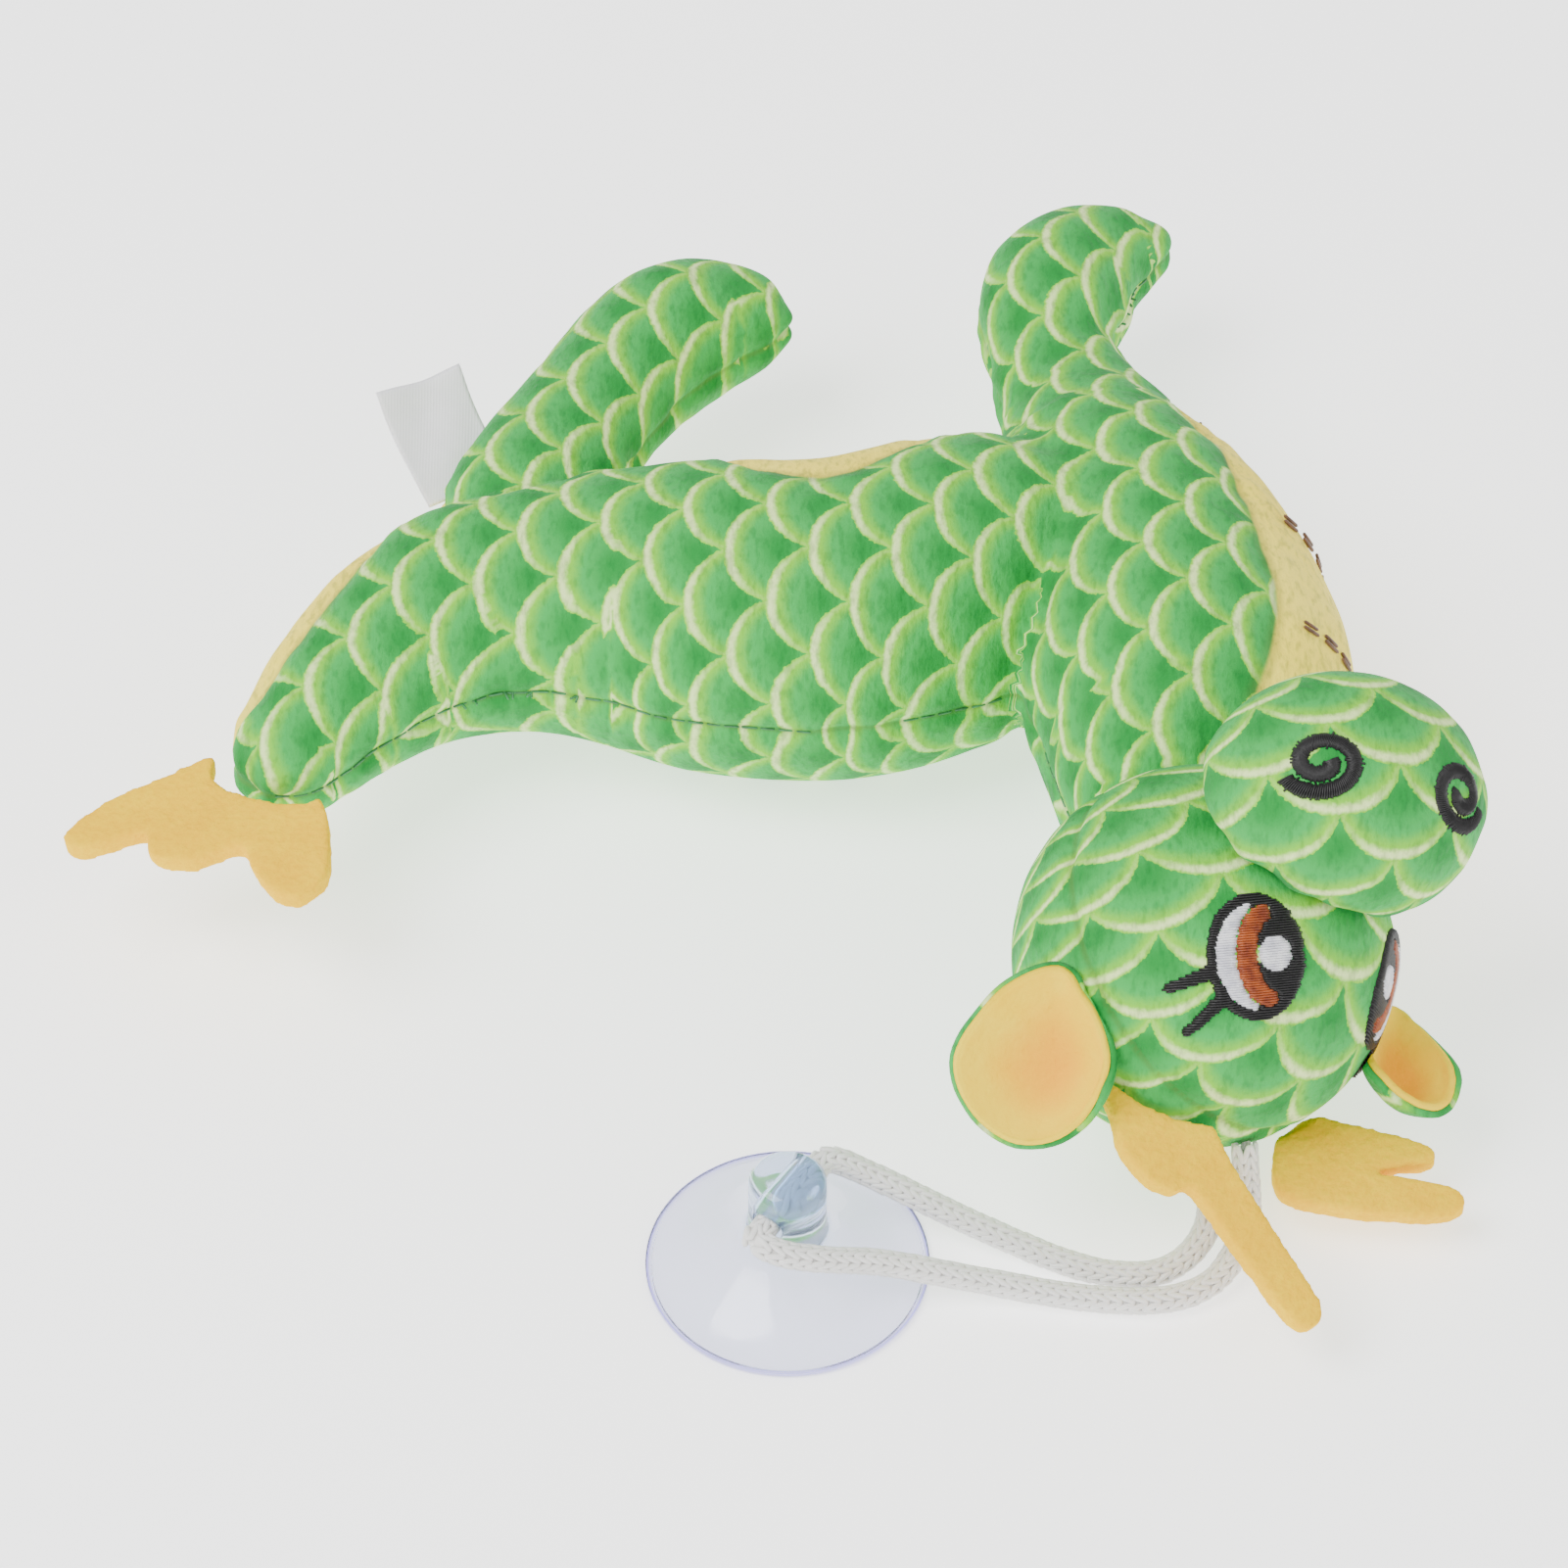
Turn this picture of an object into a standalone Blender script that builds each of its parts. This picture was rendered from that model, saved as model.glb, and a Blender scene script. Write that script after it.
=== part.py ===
"""Stuffed velboa dragon with felt horns, hanging by a knitted cord from a clear suction cup.

The toy lies on its right side on the plane z = 0.  X runs from its tail to its muzzle,
+Y is the side its two legs point to, +Z is up.  Units are metres.
"""
import math

import bmesh
import bpy
from mathutils import Matrix, Vector

MM = 0.001

# ---- driving dimensions -------------------------------------------------------------
GAP = 0.3 * MM                  # running gap between pieces that touch
SKIN = 1.5 * MM                 # velboa with its backing and short pile
FELT = 3.0 * MM                 # thickness of the horns and the tail fin
MID_Z = 26 * MM                 # height of the plane in which the two body panels meet
SIDES = 16                      # sides of every stuffed tube

GUSSET_ANGLE = math.radians(56)     # half the arc that a gusset takes of the body's girth
BELLY_ANGLE = math.radians(66)      # the belly's gusset is wider
LEAF_FULLNESS = 0.6                 # below 1, a gusset keeps its width nearer to its tips

NECK_X = 59 * MM                # neck axis, which runs along Y
NECK_END_Y = -20 * MM           # flat face where the neck meets the head
NECK_END_R = 18 * MM
BELLY_R = 25 * MM
CHEST_R = 26 * MM
TAIL_BLUNT = 0.3                # the tail ends nearly flat, where its fin is sewn in

HEAD_R = 28 * MM
HEAD_CENTRE = Vector((NECK_X, NECK_END_Y - 21 * MM, 28.5 * MM))
HEAD_FORWARD = Vector((0.69, -0.10, 0.72))      # where the face looks
HEAD_CROWN = Vector((0.17, -0.94, -0.30))       # from the chin to the crown
MUZZLE_PLACE = Vector((31, 2, -10)) * MM        # ahead of, left of and above the head's centre
MUZZLE_FORWARD = Vector((0.39, -0.41, 0.82))    # the snout is sewn on askew
MUZZLE_R = (18 * MM, 22 * MM, 18.5 * MM)        # depth, half width, half height

EMBROIDERY = 0.7 * MM           # height of the satin stitch above the velboa
EYE_W = 14 * MM
EYE_H = 17.5 * MM
NOSTRIL_W = 11 * MM
NOSTRIL_SIDE = 11.0 * MM        # from the middle of the snout
NOSTRIL_UP = 1 * MM
STROKE = 2.0 * MM

EAR_R = 12.5 * MM
EAR_DEPTH = 8 * MM
EAR_CLOTH = 1.0 * MM
EAR_LIP = 0.4 * MM              # the bowl goes this far past its widest ring

LABEL_W = 14 * MM
LABEL_THICK = 0.6 * MM
THREAD_D = 0.8 * MM
STITCH_SHARE = {1: 0.85, 2: 0.7, 3: 0.3}        # share of the gusset that a row crosses

CORD_D = 4.0 * MM
CUP_R = 20 * MM
CUP_CENTRE = Vector((0.5 * MM, -74 * MM, 0))
CUP_BELL_H = 8 * MM
CUP_H = 20 * MM
CUP_WALL = 1.6 * MM
KNOB_R = 5.5 * MM
HOLE_Z = 14 * MM
HOLE_CLEARANCE = 0.5 * MM
HOLE_D = CORD_D + 2 * HOLE_CLEARANCE
HOLE_ANGLE = math.radians(55)   # heading of the cross hole through the knob

# points on the hinges' axes; each lies at the seam that its piece bends about
EAR_HINGES = {"left": Vector((39.7, -58.4, 30.7)) * MM, "right": Vector((81.8, -49.2, 18.6)) * MM}
HORN_HINGES = {"left": Vector((54, -68.4, 24.5)) * MM, "right": Vector((72.9, -57.7, 9.7)) * MM}
CORD_HINGE = Vector((61.5, -65.5, 11)) * MM
FIN_HINGE = Vector((-79, -9, MID_Z / MM)) * MM
LABEL_HINGE = Vector((-53.7, 53.7, MID_Z / MM + 0.4)) * MM

PARTS = "plush_dragon"
MIDDLE = Vector((-2.81, 12.06, 0)) * MM         # middle of the footprint, in the drawing's coordinates

GREEN = (0.09, 0.45, 0.17, 1)
YELLOW = (1.0, 0.76, 0.20, 1)
FELT_YELLOW = (1.0, 0.72, 0.08, 1)
BLACK = (0.02, 0.02, 0.025, 1)
BROWN = (0.55, 0.14, 0.04, 1)
WHITE = (0.9, 0.9, 0.92, 1)
CLEAR = (0.72, 0.76, 0.92, 1)

# trunk from the tail end to the shoulder, and the three other stuffed tubes: x, y, radius
TRUNK = [(-75, -7, 9), (-71, 2, 11.5), (-64, 13, 14), (-55, 23, 17), (-43, 30, 19.5), (-28, 31, 21),
         (-13, 29, 24.5), (8, 27.5, BELLY_R / MM), (22, 33, 25), (39, 40, 22)]
CHEST = [(44, 80, 12.5), (46, 64, 16.5), (50, 47, 23), (56, 30, 25), (60, 10, CHEST_R / MM),
         (59.5, -6, 22)]
FRONT_LEG = [(44, 60, 14), (42.5, 76, 13), (41.5, 90, 13), (43, 100, 13.4), (49, 107, 11.5),
             (55.5, 110, 8.5)]
HIND_LEG = [(-41, 43, 15), (-37, 57, 13.5), (-30, 71.5, 12.3), (-23, 83.5, 12.8),
            (-15.2, 91.5, 13.2), (-6.8, 93.3, 10.3)]

# the cord leaves the crown, runs through the knob and comes back: x, y, z
CORD_OUT = [(65, -70.5, 7), (63, -75.5, 4), (59, -79.8, 2.6), (52, -82.2, 2.4), (41, -81.6, 2.4),
            (27, -79.8, 4), (14, -80, 8), (6, -81.8, 11), (0, -82.4, 13), (-3.6, -80.8, 13.9)]
CORD_BACK = [(6.5, -66, 13.6), (13.5, -66.2, 9.6), (27.5, -70.4, 4.2), (41, -76, 2.4),
             (50, -77.6, 2.4), (55.5, -75.6, 2.8), (59, -72, 4.6), (60, -68.4, 8)]
CORD_EXITS = [(5.5, -24, -14), (0.5, -23, -16.5)]   # directions from the head's centre


# ---- helpers ------------------------------------------------------------------------
def clear_scene():
    for obj in list(bpy.data.objects):
        bpy.data.objects.remove(obj, do_unlink=True)


def collection(name):
    found = bpy.data.collections.new(name)
    bpy.context.scene.collection.children.link(found)
    return found


def material(name, colour, roughness, metallic=0.0):
    mat = bpy.data.materials.new(name)
    mat.use_nodes = True
    shader = mat.node_tree.nodes["Principled BSDF"]
    shader.inputs["Base Color"].default_value = colour
    shader.inputs["Roughness"].default_value = roughness
    shader.inputs["Metallic"].default_value = metallic
    return mat


def link_mesh(name, bm, group):
    """Object from a closed bmesh, with its faces turned outwards."""
    bmesh.ops.recalc_face_normals(bm, faces=bm.faces[:])
    if bm.calc_volume(signed=True) < 0:
        bmesh.ops.reverse_faces(bm, faces=bm.faces[:])
    mesh = bpy.data.meshes.new(name)
    bm.to_mesh(mesh)
    bm.free()
    obj = bpy.data.objects.new(name, mesh)
    group.objects.link(obj)
    return obj


def as_cutter(obj):
    obj.hide_render = True
    obj.display_type = "WIRE"
    return obj


def boolean(obj, operation, other, solver="EXACT"):
    step = obj.modifiers.new(operation.lower(), "BOOLEAN")
    step.operation = operation
    step.solver = solver
    step.object = other


def bake(obj):
    """Apply the object's modifiers, so that what it was built from can go."""
    depsgraph = bpy.context.evaluated_depsgraph_get()
    obj.data = bpy.data.meshes.new_from_object(obj.evaluated_get(depsgraph))
    obj.modifiers.clear()
    return obj


def fuse(objects):
    first = objects[0]
    for other in objects[1:]:
        boolean(first, "UNION", other)
    bake(first)
    for other in objects[1:]:
        bpy.data.objects.remove(other, do_unlink=True)
    return first


def smooth_shade(obj, angle=35):
    obj.data.shade_smooth()
    obj.data.set_sharp_from_angle(angle=math.radians(angle))


def finish(obj, mat, angle=35):
    obj.data.materials.clear()
    obj.data.materials.append(mat)
    smooth_shade(obj, angle)
    return obj


def frame(origin, forward, up):
    """Matrix of a frame whose X is forward and whose Z leans towards up."""
    x = forward.normalized()
    y = up.cross(x).normalized()
    z = x.cross(y)
    turned = Matrix((x, y, z)).transposed().to_4x4()
    return Matrix.Translation(origin) @ turned


def spline(points, steps):
    """Catmull-Rom curve through the points, with a number of steps for each stretch."""
    ends = [2 * points[0] - points[1], *points, 2 * points[-1] - points[-2]]
    curve = []
    for a, b, c, d in zip(ends, ends[1:], ends[2:], ends[3:]):
        for i in range(steps):
            t = i / steps
            curve.append(0.5 * (2 * b + (c - a) * t + (2 * a - 5 * b + 4 * c - d) * t * t
                                + (3 * b - a - 3 * c + d) * t ** 3))
    curve.append(points[-1].copy())
    return curve


def bridge(bm, rings):
    """Faces between rings of equal count, with a cap on each end."""
    for low, high in zip(rings, rings[1:]):
        for i in range(len(low)):
            j = (i + 1) % len(low)
            bm.faces.new((low[i], low[j], high[j], high[i]))
    bm.faces.new(rings[0][::-1])
    bm.faces.new(rings[-1])


# ---- the stuffed body ---------------------------------------------------------------
def stuffed_tube(name, points, inset, group, flat_end=False, blunt=1.0):
    """Round tube through (x, y, radius) points; blunt shortens the dome on its first end."""
    path = spline([Vector((x * MM, y * MM, r * MM - inset)) for x, y, r in points], 2)
    heads = [(path[0], path[0] - path[1], blunt), (path[-1], path[-1] - path[-2], 1.0)]
    domes = []
    for tip, away, length in heads:
        first = not domes
        away = away.xy.normalized() * ((tip.z + inset) * length - inset)
        dome = [Vector((*(tip.xy + away * math.sin(a)), tip.z * math.cos(a)))
                for a in map(math.radians, (28, 56, 78))]
        domes.append(dome[::-1] if first else dome)
    if flat_end:
        domes[1] = []
    path = domes[0] + path + domes[1]
    bm = bmesh.new()
    rings = []
    for i, spot in enumerate(path):
        ahead = path[min(i + 1, len(path) - 1)] - path[max(i - 1, 0)]
        if flat_end and i == len(path) - 1:
            ahead = Vector((0, -1, 0))
        side = Vector((-ahead.y, ahead.x, 0)).normalized()
        centre = Vector((spot.x, spot.y, MID_Z))
        rings.append([bm.verts.new(centre + spot.z * (math.cos(t) * side
                                                      + math.sin(t) * Vector((0, 0, 1))))
                      for t in (math.tau * (k + 0.5) / SIDES for k in range(SIDES))])
    bridge(bm, rings)
    return link_mesh(name, bm, group)


def body_form(name, inset, end_gap, group):
    """The whole body, tail and legs as one solid, drawn in by an inset."""
    neck = [(NECK_X / MM, NECK_END_Y / MM + end_gap / MM, NECK_END_R / MM)]
    tubes = [stuffed_tube(name, TRUNK, inset, group, blunt=TAIL_BLUNT),
             stuffed_tube("chest_tube", CHEST + neck, inset, group, flat_end=True),
             stuffed_tube("front_leg_tube", FRONT_LEG, inset, group),
             stuffed_tube("hind_leg_tube", HIND_LEG, inset, group)]
    return fuse(tubes)


def box(name, low, high, group):
    bm = bmesh.new()
    bmesh.ops.create_cube(bm, size=1)
    size = Vector(high) - Vector(low)
    bmesh.ops.scale(bm, vec=size, verts=bm.verts)
    bmesh.ops.translate(bm, vec=Vector(low) + size / 2, verts=bm.verts)
    return link_mesh(name, bm, group)


def leaf_cutter(name, start, end, outward, half_width, near, far, grow, group):
    """Leaf outline in the upright plane from start to end, pushed outwards."""
    start, end = Vector(start), Vector(end)
    along = (end - start).normalized()
    start, end = start - along * grow, end + along * grow
    half = half_width + grow
    count = 16
    widths = [Vector((0, 0, half * math.sin(math.pi * i / count) ** LEAF_FULLNESS))
              for i in range(count)]
    widths.append(Vector())
    edge = [start.lerp(end, i / count) + widths[i] for i in range(count + 1)]
    edge += [start.lerp(end, i / count) - widths[i] for i in range(count - 1, 0, -1)]
    push = Vector(outward).normalized()
    bm = bmesh.new()
    bridge(bm, [[bm.verts.new(p + push * d) for p in edge] for d in (near - grow, far)])
    return as_cutter(link_mesh(name, bm, group))


def gusset_shapes():
    """Start, end, outward direction, half width, near and far reach of each gusset."""
    arc = math.sin(GUSSET_ANGLE)
    return {
        "belly_gusset": ((-20 * MM, 30 * MM, MID_Z), (33 * MM, 30 * MM, MID_Z), (0, 1, 0),
                         BELLY_R * math.sin(BELLY_ANGLE), 0.0, 34 * MM),
        "chest_gusset": ((NECK_X, 76 * MM, MID_Z), (NECK_X, -44 * MM, MID_Z), (1, 0, 0),
                         CHEST_R * arc, 0.0, 45 * MM),
        "tail_gusset": ((-78 * MM, -2 * MM, MID_Z), (-50 * MM, 52 * MM, MID_Z), (-0.86, 0.5, 0),
                        14 * MM * arc, 5 * MM, 30 * MM),
    }


def body(parts, cutters, green, yellow, fill):
    skin = body_form("skin_form", 0.0, GAP / 2, cutters)
    hollow = as_cutter(body_form("hollow_form", SKIN, -2 * MM, cutters))
    boolean(skin, "DIFFERENCE", hollow, "MANIFOLD")
    bake(skin)
    reach = 0.3
    above = as_cutter(box("above_seam", (-reach, -reach, MID_Z - GAP / 2), (reach, reach, reach),
                          cutters))
    below = as_cutter(box("below_seam", (-reach, -reach, -reach), (reach, reach, MID_Z + GAP / 2),
                          cutters))
    gussets = gusset_shapes()
    wide = [leaf_cutter(name + "_seam", *shape, GAP, cutters) for name, shape in gussets.items()]
    for name, cutter in (("body_panel_left", below), ("body_panel_right", above)):
        panel = bpy.data.objects.new(name, skin.data.copy())
        parts.objects.link(panel)
        for other in (cutter, *wide):
            boolean(panel, "DIFFERENCE", other, "MANIFOLD")
        finish(bake(panel), green)
    for name, shape in gussets.items():
        leaf = leaf_cutter(name + "_leaf", *shape, 0.0, cutters)
        piece = bpy.data.objects.new(name, skin.data.copy())
        parts.objects.link(piece)
        boolean(piece, "INTERSECT", leaf, "MANIFOLD")
        finish(bake(piece), yellow)
    bpy.data.objects.remove(skin, do_unlink=True)
    stuffing = body_form("body_stuffing", SKIN + GAP, GAP / 2, parts)
    finish(stuffing, fill)


# ---- the head -----------------------------------------------------------------------
def ellipsoid(name, radii, grow, place, group, segments=28, rings=16):
    bm = bmesh.new()
    bmesh.ops.create_uvsphere(bm, u_segments=segments, v_segments=rings, radius=1)
    bmesh.ops.scale(bm, vec=Vector(radii) + Vector((grow, grow, grow)), verts=bm.verts)
    bm.transform(place)
    return link_mesh(name, bm, group)


def head_frame():
    return frame(HEAD_CENTRE, HEAD_FORWARD, HEAD_CROWN)


def muzzle_frame():
    return frame(head_frame() @ MUZZLE_PLACE, MUZZLE_FORWARD, HEAD_CROWN)


def head_ball(name, grow, group):
    return ellipsoid(name, (HEAD_R, HEAD_R, HEAD_R), grow, head_frame(), group)


def muzzle_ball(name, grow, group):
    return ellipsoid(name, MUZZLE_R, grow, muzzle_frame(), group, 22, 12)


def head(parts, cutters, green, fill):
    """Ball of two panels, cut flat where the neck is sewn on."""
    reach = 0.1
    neck_side = as_cutter(box("neck_side", (-reach, NECK_END_Y - GAP / 2, -reach),
                              (reach * 2, reach, reach * 2), cutters))
    hollow = as_cutter(head_ball("head_hollow", -SKIN, cutters))
    for name, turn in (("head_face_panel", 0), ("head_back_panel", math.pi)):
        panel = head_ball(name, 0.0, parts)
        far_half = as_cutter(box(name + "_seam", (-reach, -reach, -reach),
                                 (GAP / 2, reach, reach), cutters))
        far_half.matrix_world = head_frame() @ Matrix.Rotation(turn, 4, "Z")
        for other in (hollow, neck_side, far_half):
            boolean(panel, "DIFFERENCE", other)
        finish(bake(panel), green)
    stuffing = head_ball("head_stuffing", -SKIN - GAP, parts)
    boolean(stuffing, "DIFFERENCE", neck_side)
    finish(bake(stuffing), fill)


def muzzle(parts, cutters, green, fill):
    face = as_cutter(head_ball("muzzle_base", GAP, cutters))
    cover = muzzle_ball("muzzle_cover", 0.0, parts)
    hollow = as_cutter(muzzle_ball("muzzle_hollow", -SKIN, cutters))
    for other in (hollow, face):
        boolean(cover, "DIFFERENCE", other)
    finish(bake(cover), green)
    stuffing = muzzle_ball("muzzle_stuffing", -SKIN - GAP, parts)
    boolean(stuffing, "DIFFERENCE", face)
    finish(bake(stuffing), fill)


# ---- embroidery ---------------------------------------------------------------------
def arc(centre, radii, start, stop, count):
    """Points on an ellipse, angles in degrees."""
    angles = (math.radians(start + (stop - start) * i / count) for i in range(count + 1))
    return [Vector((centre[0] + radii[0] * math.cos(a), centre[1] + radii[1] * math.sin(a)))
            for a in angles]


def prism(name, outline, place, depth, group):
    """Outline of the frame's YZ plane, pushed both ways along its X."""
    bm = bmesh.new()
    bridge(bm, [[bm.verts.new(Vector((x, p.x, p.y))) for p in outline] for x in (-depth, depth)])
    bm.transform(place)
    return as_cutter(link_mesh(name, bm, group))


def eye_frame(side):
    """X leaves the head at the pupil, Y points to the outer corner."""
    out = Vector((0.75, 0.53 * side, 0.44)).normalized()
    across = Vector((0, 0, 1)).cross(out).normalized() * side
    spot = out * HEAD_R
    place = Matrix((out, across, out.cross(across))).transposed().to_4x4()
    return head_frame() @ Matrix.Translation(spot) @ place


def patch(name, keep, drop, place, parts, cutters):
    """Thin layer on the head ball inside one outline and outside others."""
    layer = ellipsoid(name, (HEAD_R,) * 3, EMBROIDERY + GAP, head_frame(), parts, 56, 32)
    core = as_cutter(ellipsoid(name + "_core", (HEAD_R,) * 3, GAP, head_frame(), cutters, 56, 32))
    boolean(layer, "DIFFERENCE", core)
    boolean(layer, "INTERSECT", prism(name + "_in", keep, place, 12 * MM, cutters))
    boolean(layer, "DIFFERENCE", as_cutter(muzzle_ball(name + "_snout", GAP, cutters)))
    for i, outline in enumerate(drop):
        boolean(layer, "DIFFERENCE", prism(f"{name}_out{i}", outline, place, 13 * MM, cutters))
    return bake(layer)


def crescent(outer, inner, span, grow):
    """Band between two ellipse arcs on the side of the outer corner, grown all round."""
    span += math.degrees(2 * grow / min(inner[1]))
    outer_arc = arc(outer[0], [r + grow for r in outer[1]], -span, span, 14)
    inner_arc = arc(inner[0], [r - grow for r in inner[1]], span, -span, 14)
    return outer_arc + inner_arc


def eye(side, label, parts, cutters, threads):
    place = eye_frame(side)
    half = (EYE_W / 2, EYE_H / 2)
    rim = arc((0, 0), half, 0, 360, 28)[:-1]
    white_out = ((-0.2 * MM, 0), (half[0] - 1.3 * MM, half[1] - 1.8 * MM))
    white_in = ((-1.2 * MM, 0), (half[0] - 2.7 * MM, half[1] - 1.6 * MM))
    brown_out = ((-1.5 * MM, 0), (half[0] - 2.9 * MM, half[1] - 1.9 * MM))
    brown_in = ((-2.3 * MM, 0), (half[0] - 4.4 * MM, half[1] - 3.6 * MM))
    glint = arc((-2.8 * MM, 0), (2.3 * MM, 2.3 * MM), 0, 360, 16)[:-1]
    glint_hole = arc((-2.8 * MM, 0), (2.3 * MM + GAP, 2.3 * MM + GAP), 0, 360, 16)[:-1]
    white, brown = (white_out, white_in, 62), (brown_out, brown_in, 80)
    black = patch(f"eye_{label}_black", rim,
                  [crescent(*white, GAP), crescent(*brown, GAP), glint_hole],
                  place, parts, cutters)
    finish(black, threads["black"], 50)
    finish(patch(f"eye_{label}_white", crescent(*white, 0), [], place, parts, cutters),
           threads["white"], 50)
    finish(patch(f"eye_{label}_iris", crescent(*brown, 0), [], place, parts, cutters),
           threads["brown"], 50)
    finish(patch(f"eye_{label}_glint", glint, [], place, parts, cutters), threads["white"], 50)


def nostril(side, label, parts, thread):
    """Satin-stitched spiral that follows the muzzle's surface."""
    place = muzzle_frame()
    depth, width, height = MUZZLE_R
    turns, count = 1.45, 30
    rows = []
    for i in range(count + 1):
        share = i / count
        angle = math.tau * turns * share + math.radians(200)
        radius = (NOSTRIL_W - STROKE) / 2 * (1 - 0.78 * share ** 1.4)
        y = side * (NOSTRIL_SIDE - radius * math.cos(angle))
        z = NOSTRIL_UP + radius * math.sin(angle)
        x = depth * math.sqrt(1 - (y / width) ** 2 - (z / height) ** 2)
        spot = Vector((x, y, z))
        normal = Vector((x / depth ** 2, y / width ** 2, z / height ** 2)).normalized()
        rows.append((spot, normal))
    bm = bmesh.new()
    rings = []
    for i, (spot, normal) in enumerate(rows):
        ahead = rows[min(i + 1, count)][0] - rows[max(i - 1, 0)][0]
        across = normal.cross(ahead).normalized() * STROKE / 2
        low, high = normal * 1.6 * GAP, normal * (EMBROIDERY + 1.6 * GAP)
        rings.append([bm.verts.new(spot + p) for p in
                      (low - across, low + across, high + across * 0.7, high - across * 0.7)])
    bridge(bm, rings)
    bm.transform(place)
    finish(link_mesh(f"nostril_{label}", bm, parts), thread, 50)


# ---- ears, horns, fin and label -----------------------------------------------------
def ear(label, centre, opening, parts, cutters, green, yellow):
    """Cupped ear of two cloths, whose bowl opens in one direction and backs on to the head."""
    place = frame(centre, HEAD_CENTRE - centre, opening)
    radii = (EAR_R, EAR_R, EAR_DEPTH)
    rim = box(f"ear_{label}_rim", (-0.1, -0.1, EAR_LIP), (0.1, 0.1, 0.1), cutters)
    rim.data.transform(place)
    as_cutter(rim)
    skull = as_cutter(head_ball(f"ear_{label}_seat", GAP, cutters))
    for name, inset, cloth in (("outer", 0.0, green), ("lining", EAR_CLOTH + GAP, yellow)):
        bowl = ellipsoid(f"ear_{label}_{name}", radii, -inset, place, parts, 18, 10)
        hollow = as_cutter(ellipsoid(f"ear_{label}_{name}_hollow", radii, -inset - EAR_CLOTH,
                                     place, cutters, 18, 10))
        for other in (hollow, rim, skull):
            boolean(bowl, "DIFFERENCE", other, "MANIFOLD")
        finish(bake(bowl), cloth)


def felt_plate(name, outline, thickness, parts, mat):
    """Flat piece cut from felt: its outline in millimetres, centred on its own plane."""
    curve = bpy.data.curves.new(name, "CURVE")
    curve.dimensions = "2D"
    curve.fill_mode = "BOTH"
    curve.extrude = thickness / 2
    line = curve.splines.new("POLY")
    line.points.add(len(outline) - 1)
    for point, (x, y) in zip(line.points, outline):
        point.co = (x * MM, y * MM, 0, 1)
    line.use_cyclic_u = True
    drawn = bpy.data.objects.new(name, curve)
    parts.objects.link(drawn)
    depsgraph = bpy.context.evaluated_depsgraph_get()
    bm = bmesh.new()
    bm.from_mesh(drawn.evaluated_get(depsgraph).to_mesh())
    bpy.data.objects.remove(drawn, do_unlink=True)
    bmesh.ops.remove_doubles(bm, verts=bm.verts, dist=0.01 * MM)
    plate = link_mesh(name, bm, parts)
    return finish(plate, mat, 30)


def rounded(points, steps=3):
    """Closed smooth outline through its points."""
    loop = [Vector((x, y)) for x, y in points]
    count = len(loop)
    curve = []
    for i in range(count):
        a, b, c, d = (loop[(i + k) % count] for k in (-1, 0, 1, 2))
        for s in range(steps):
            t = s / steps
            curve.append(0.5 * (2 * b + (c - a) * t + (2 * a - 5 * b + 4 * c - d) * t * t
                                + (3 * b - a - 3 * c + d) * t ** 3))
    return curve


HORN = [(-10, -6), (-4, -8.5), (0, -10), (5, -9.5), (8.5, -7), (9, -4.5), (14, -3.8), (27, -3),
        (33, -2), (34, 0.5), (32.5, 2.5), (27, 2.8), (12, 2.8), (0, 4), (-10, 5)]
HORN_FORKED = [(6, -5), (11, -7), (20, -6.8), (28, -6), (31.5, -4.6), (32.3, -2.6), (30.5, -0.9),
               (25, -0.6), (18.5, -0.3), (23, 1.3), (27.3, 2.6), (27, 4.8), (24, 5.6), (15, 6.5),
               (7, 7), (5, 1)]
FIN = [(5, -8), (12, -6), (21, -3), (28, 2), (28, 5), (25, 6), (17, 4.5), (16.5, 8.5), (14, 10.5),
       (9.5, 11.5), (3, 10), (1.5, 14.5), (-1.5, 20), (-5, 21.5), (-8.5, 19), (-9.5, 14.5),
       (-9.5, 6), (-6, 0)]


def horn(label, outline, base, forward, up, parts, cutters, felt):
    """Two-pronged felt horn, trimmed where it is sewn on to the head."""
    plate = felt_plate(f"horn_{label}", rounded(outline), FELT, parts, felt)
    plate.matrix_world = frame(Vector(base) * MM, Vector(forward), Vector(up))
    boolean(plate, "DIFFERENCE", as_cutter(head_ball(f"horn_{label}_seat", GAP, cutters)))


def tail_fin(parts, grown_body, felt):
    plate = felt_plate("tail_fin", rounded(FIN), FELT, parts, felt)
    root = Vector((TRUNK[0][0] - 1, TRUNK[0][1] - 1, 0)) * MM + Vector((0, 0, MID_Z))
    plate.matrix_world = frame(root, Vector((-1, -0.1, -0.12)), Vector((0, 0, 1)))
    boolean(plate, "DIFFERENCE", grown_body)


def seam_label(parts, grown_body, satin):
    """Satin tag caught in the seam behind the hind leg."""
    profile = [(-6, 0), (4, 0.4), (9, 0.2), (14, 1.0), (18, 3.5)]
    half, thick = LABEL_W / 2, LABEL_THICK
    bm = bmesh.new()
    bridge(bm, [[bm.verts.new((x * MM, y, z * MM + t)) for y, t in
                 ((-half, 0), (half, 0), (half, thick), (-half, thick))] for x, z in profile])
    tag = finish(link_mesh("label", bm, parts), satin)
    tag.matrix_world = frame(Vector((-48.5, 57, 0)) * MM + Vector((0, 0, MID_Z)),
                             Vector((-0.45, 0.88, 0.22)), Vector((0, 0, 1)))
    boolean(tag, "DIFFERENCE", grown_body)


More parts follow.
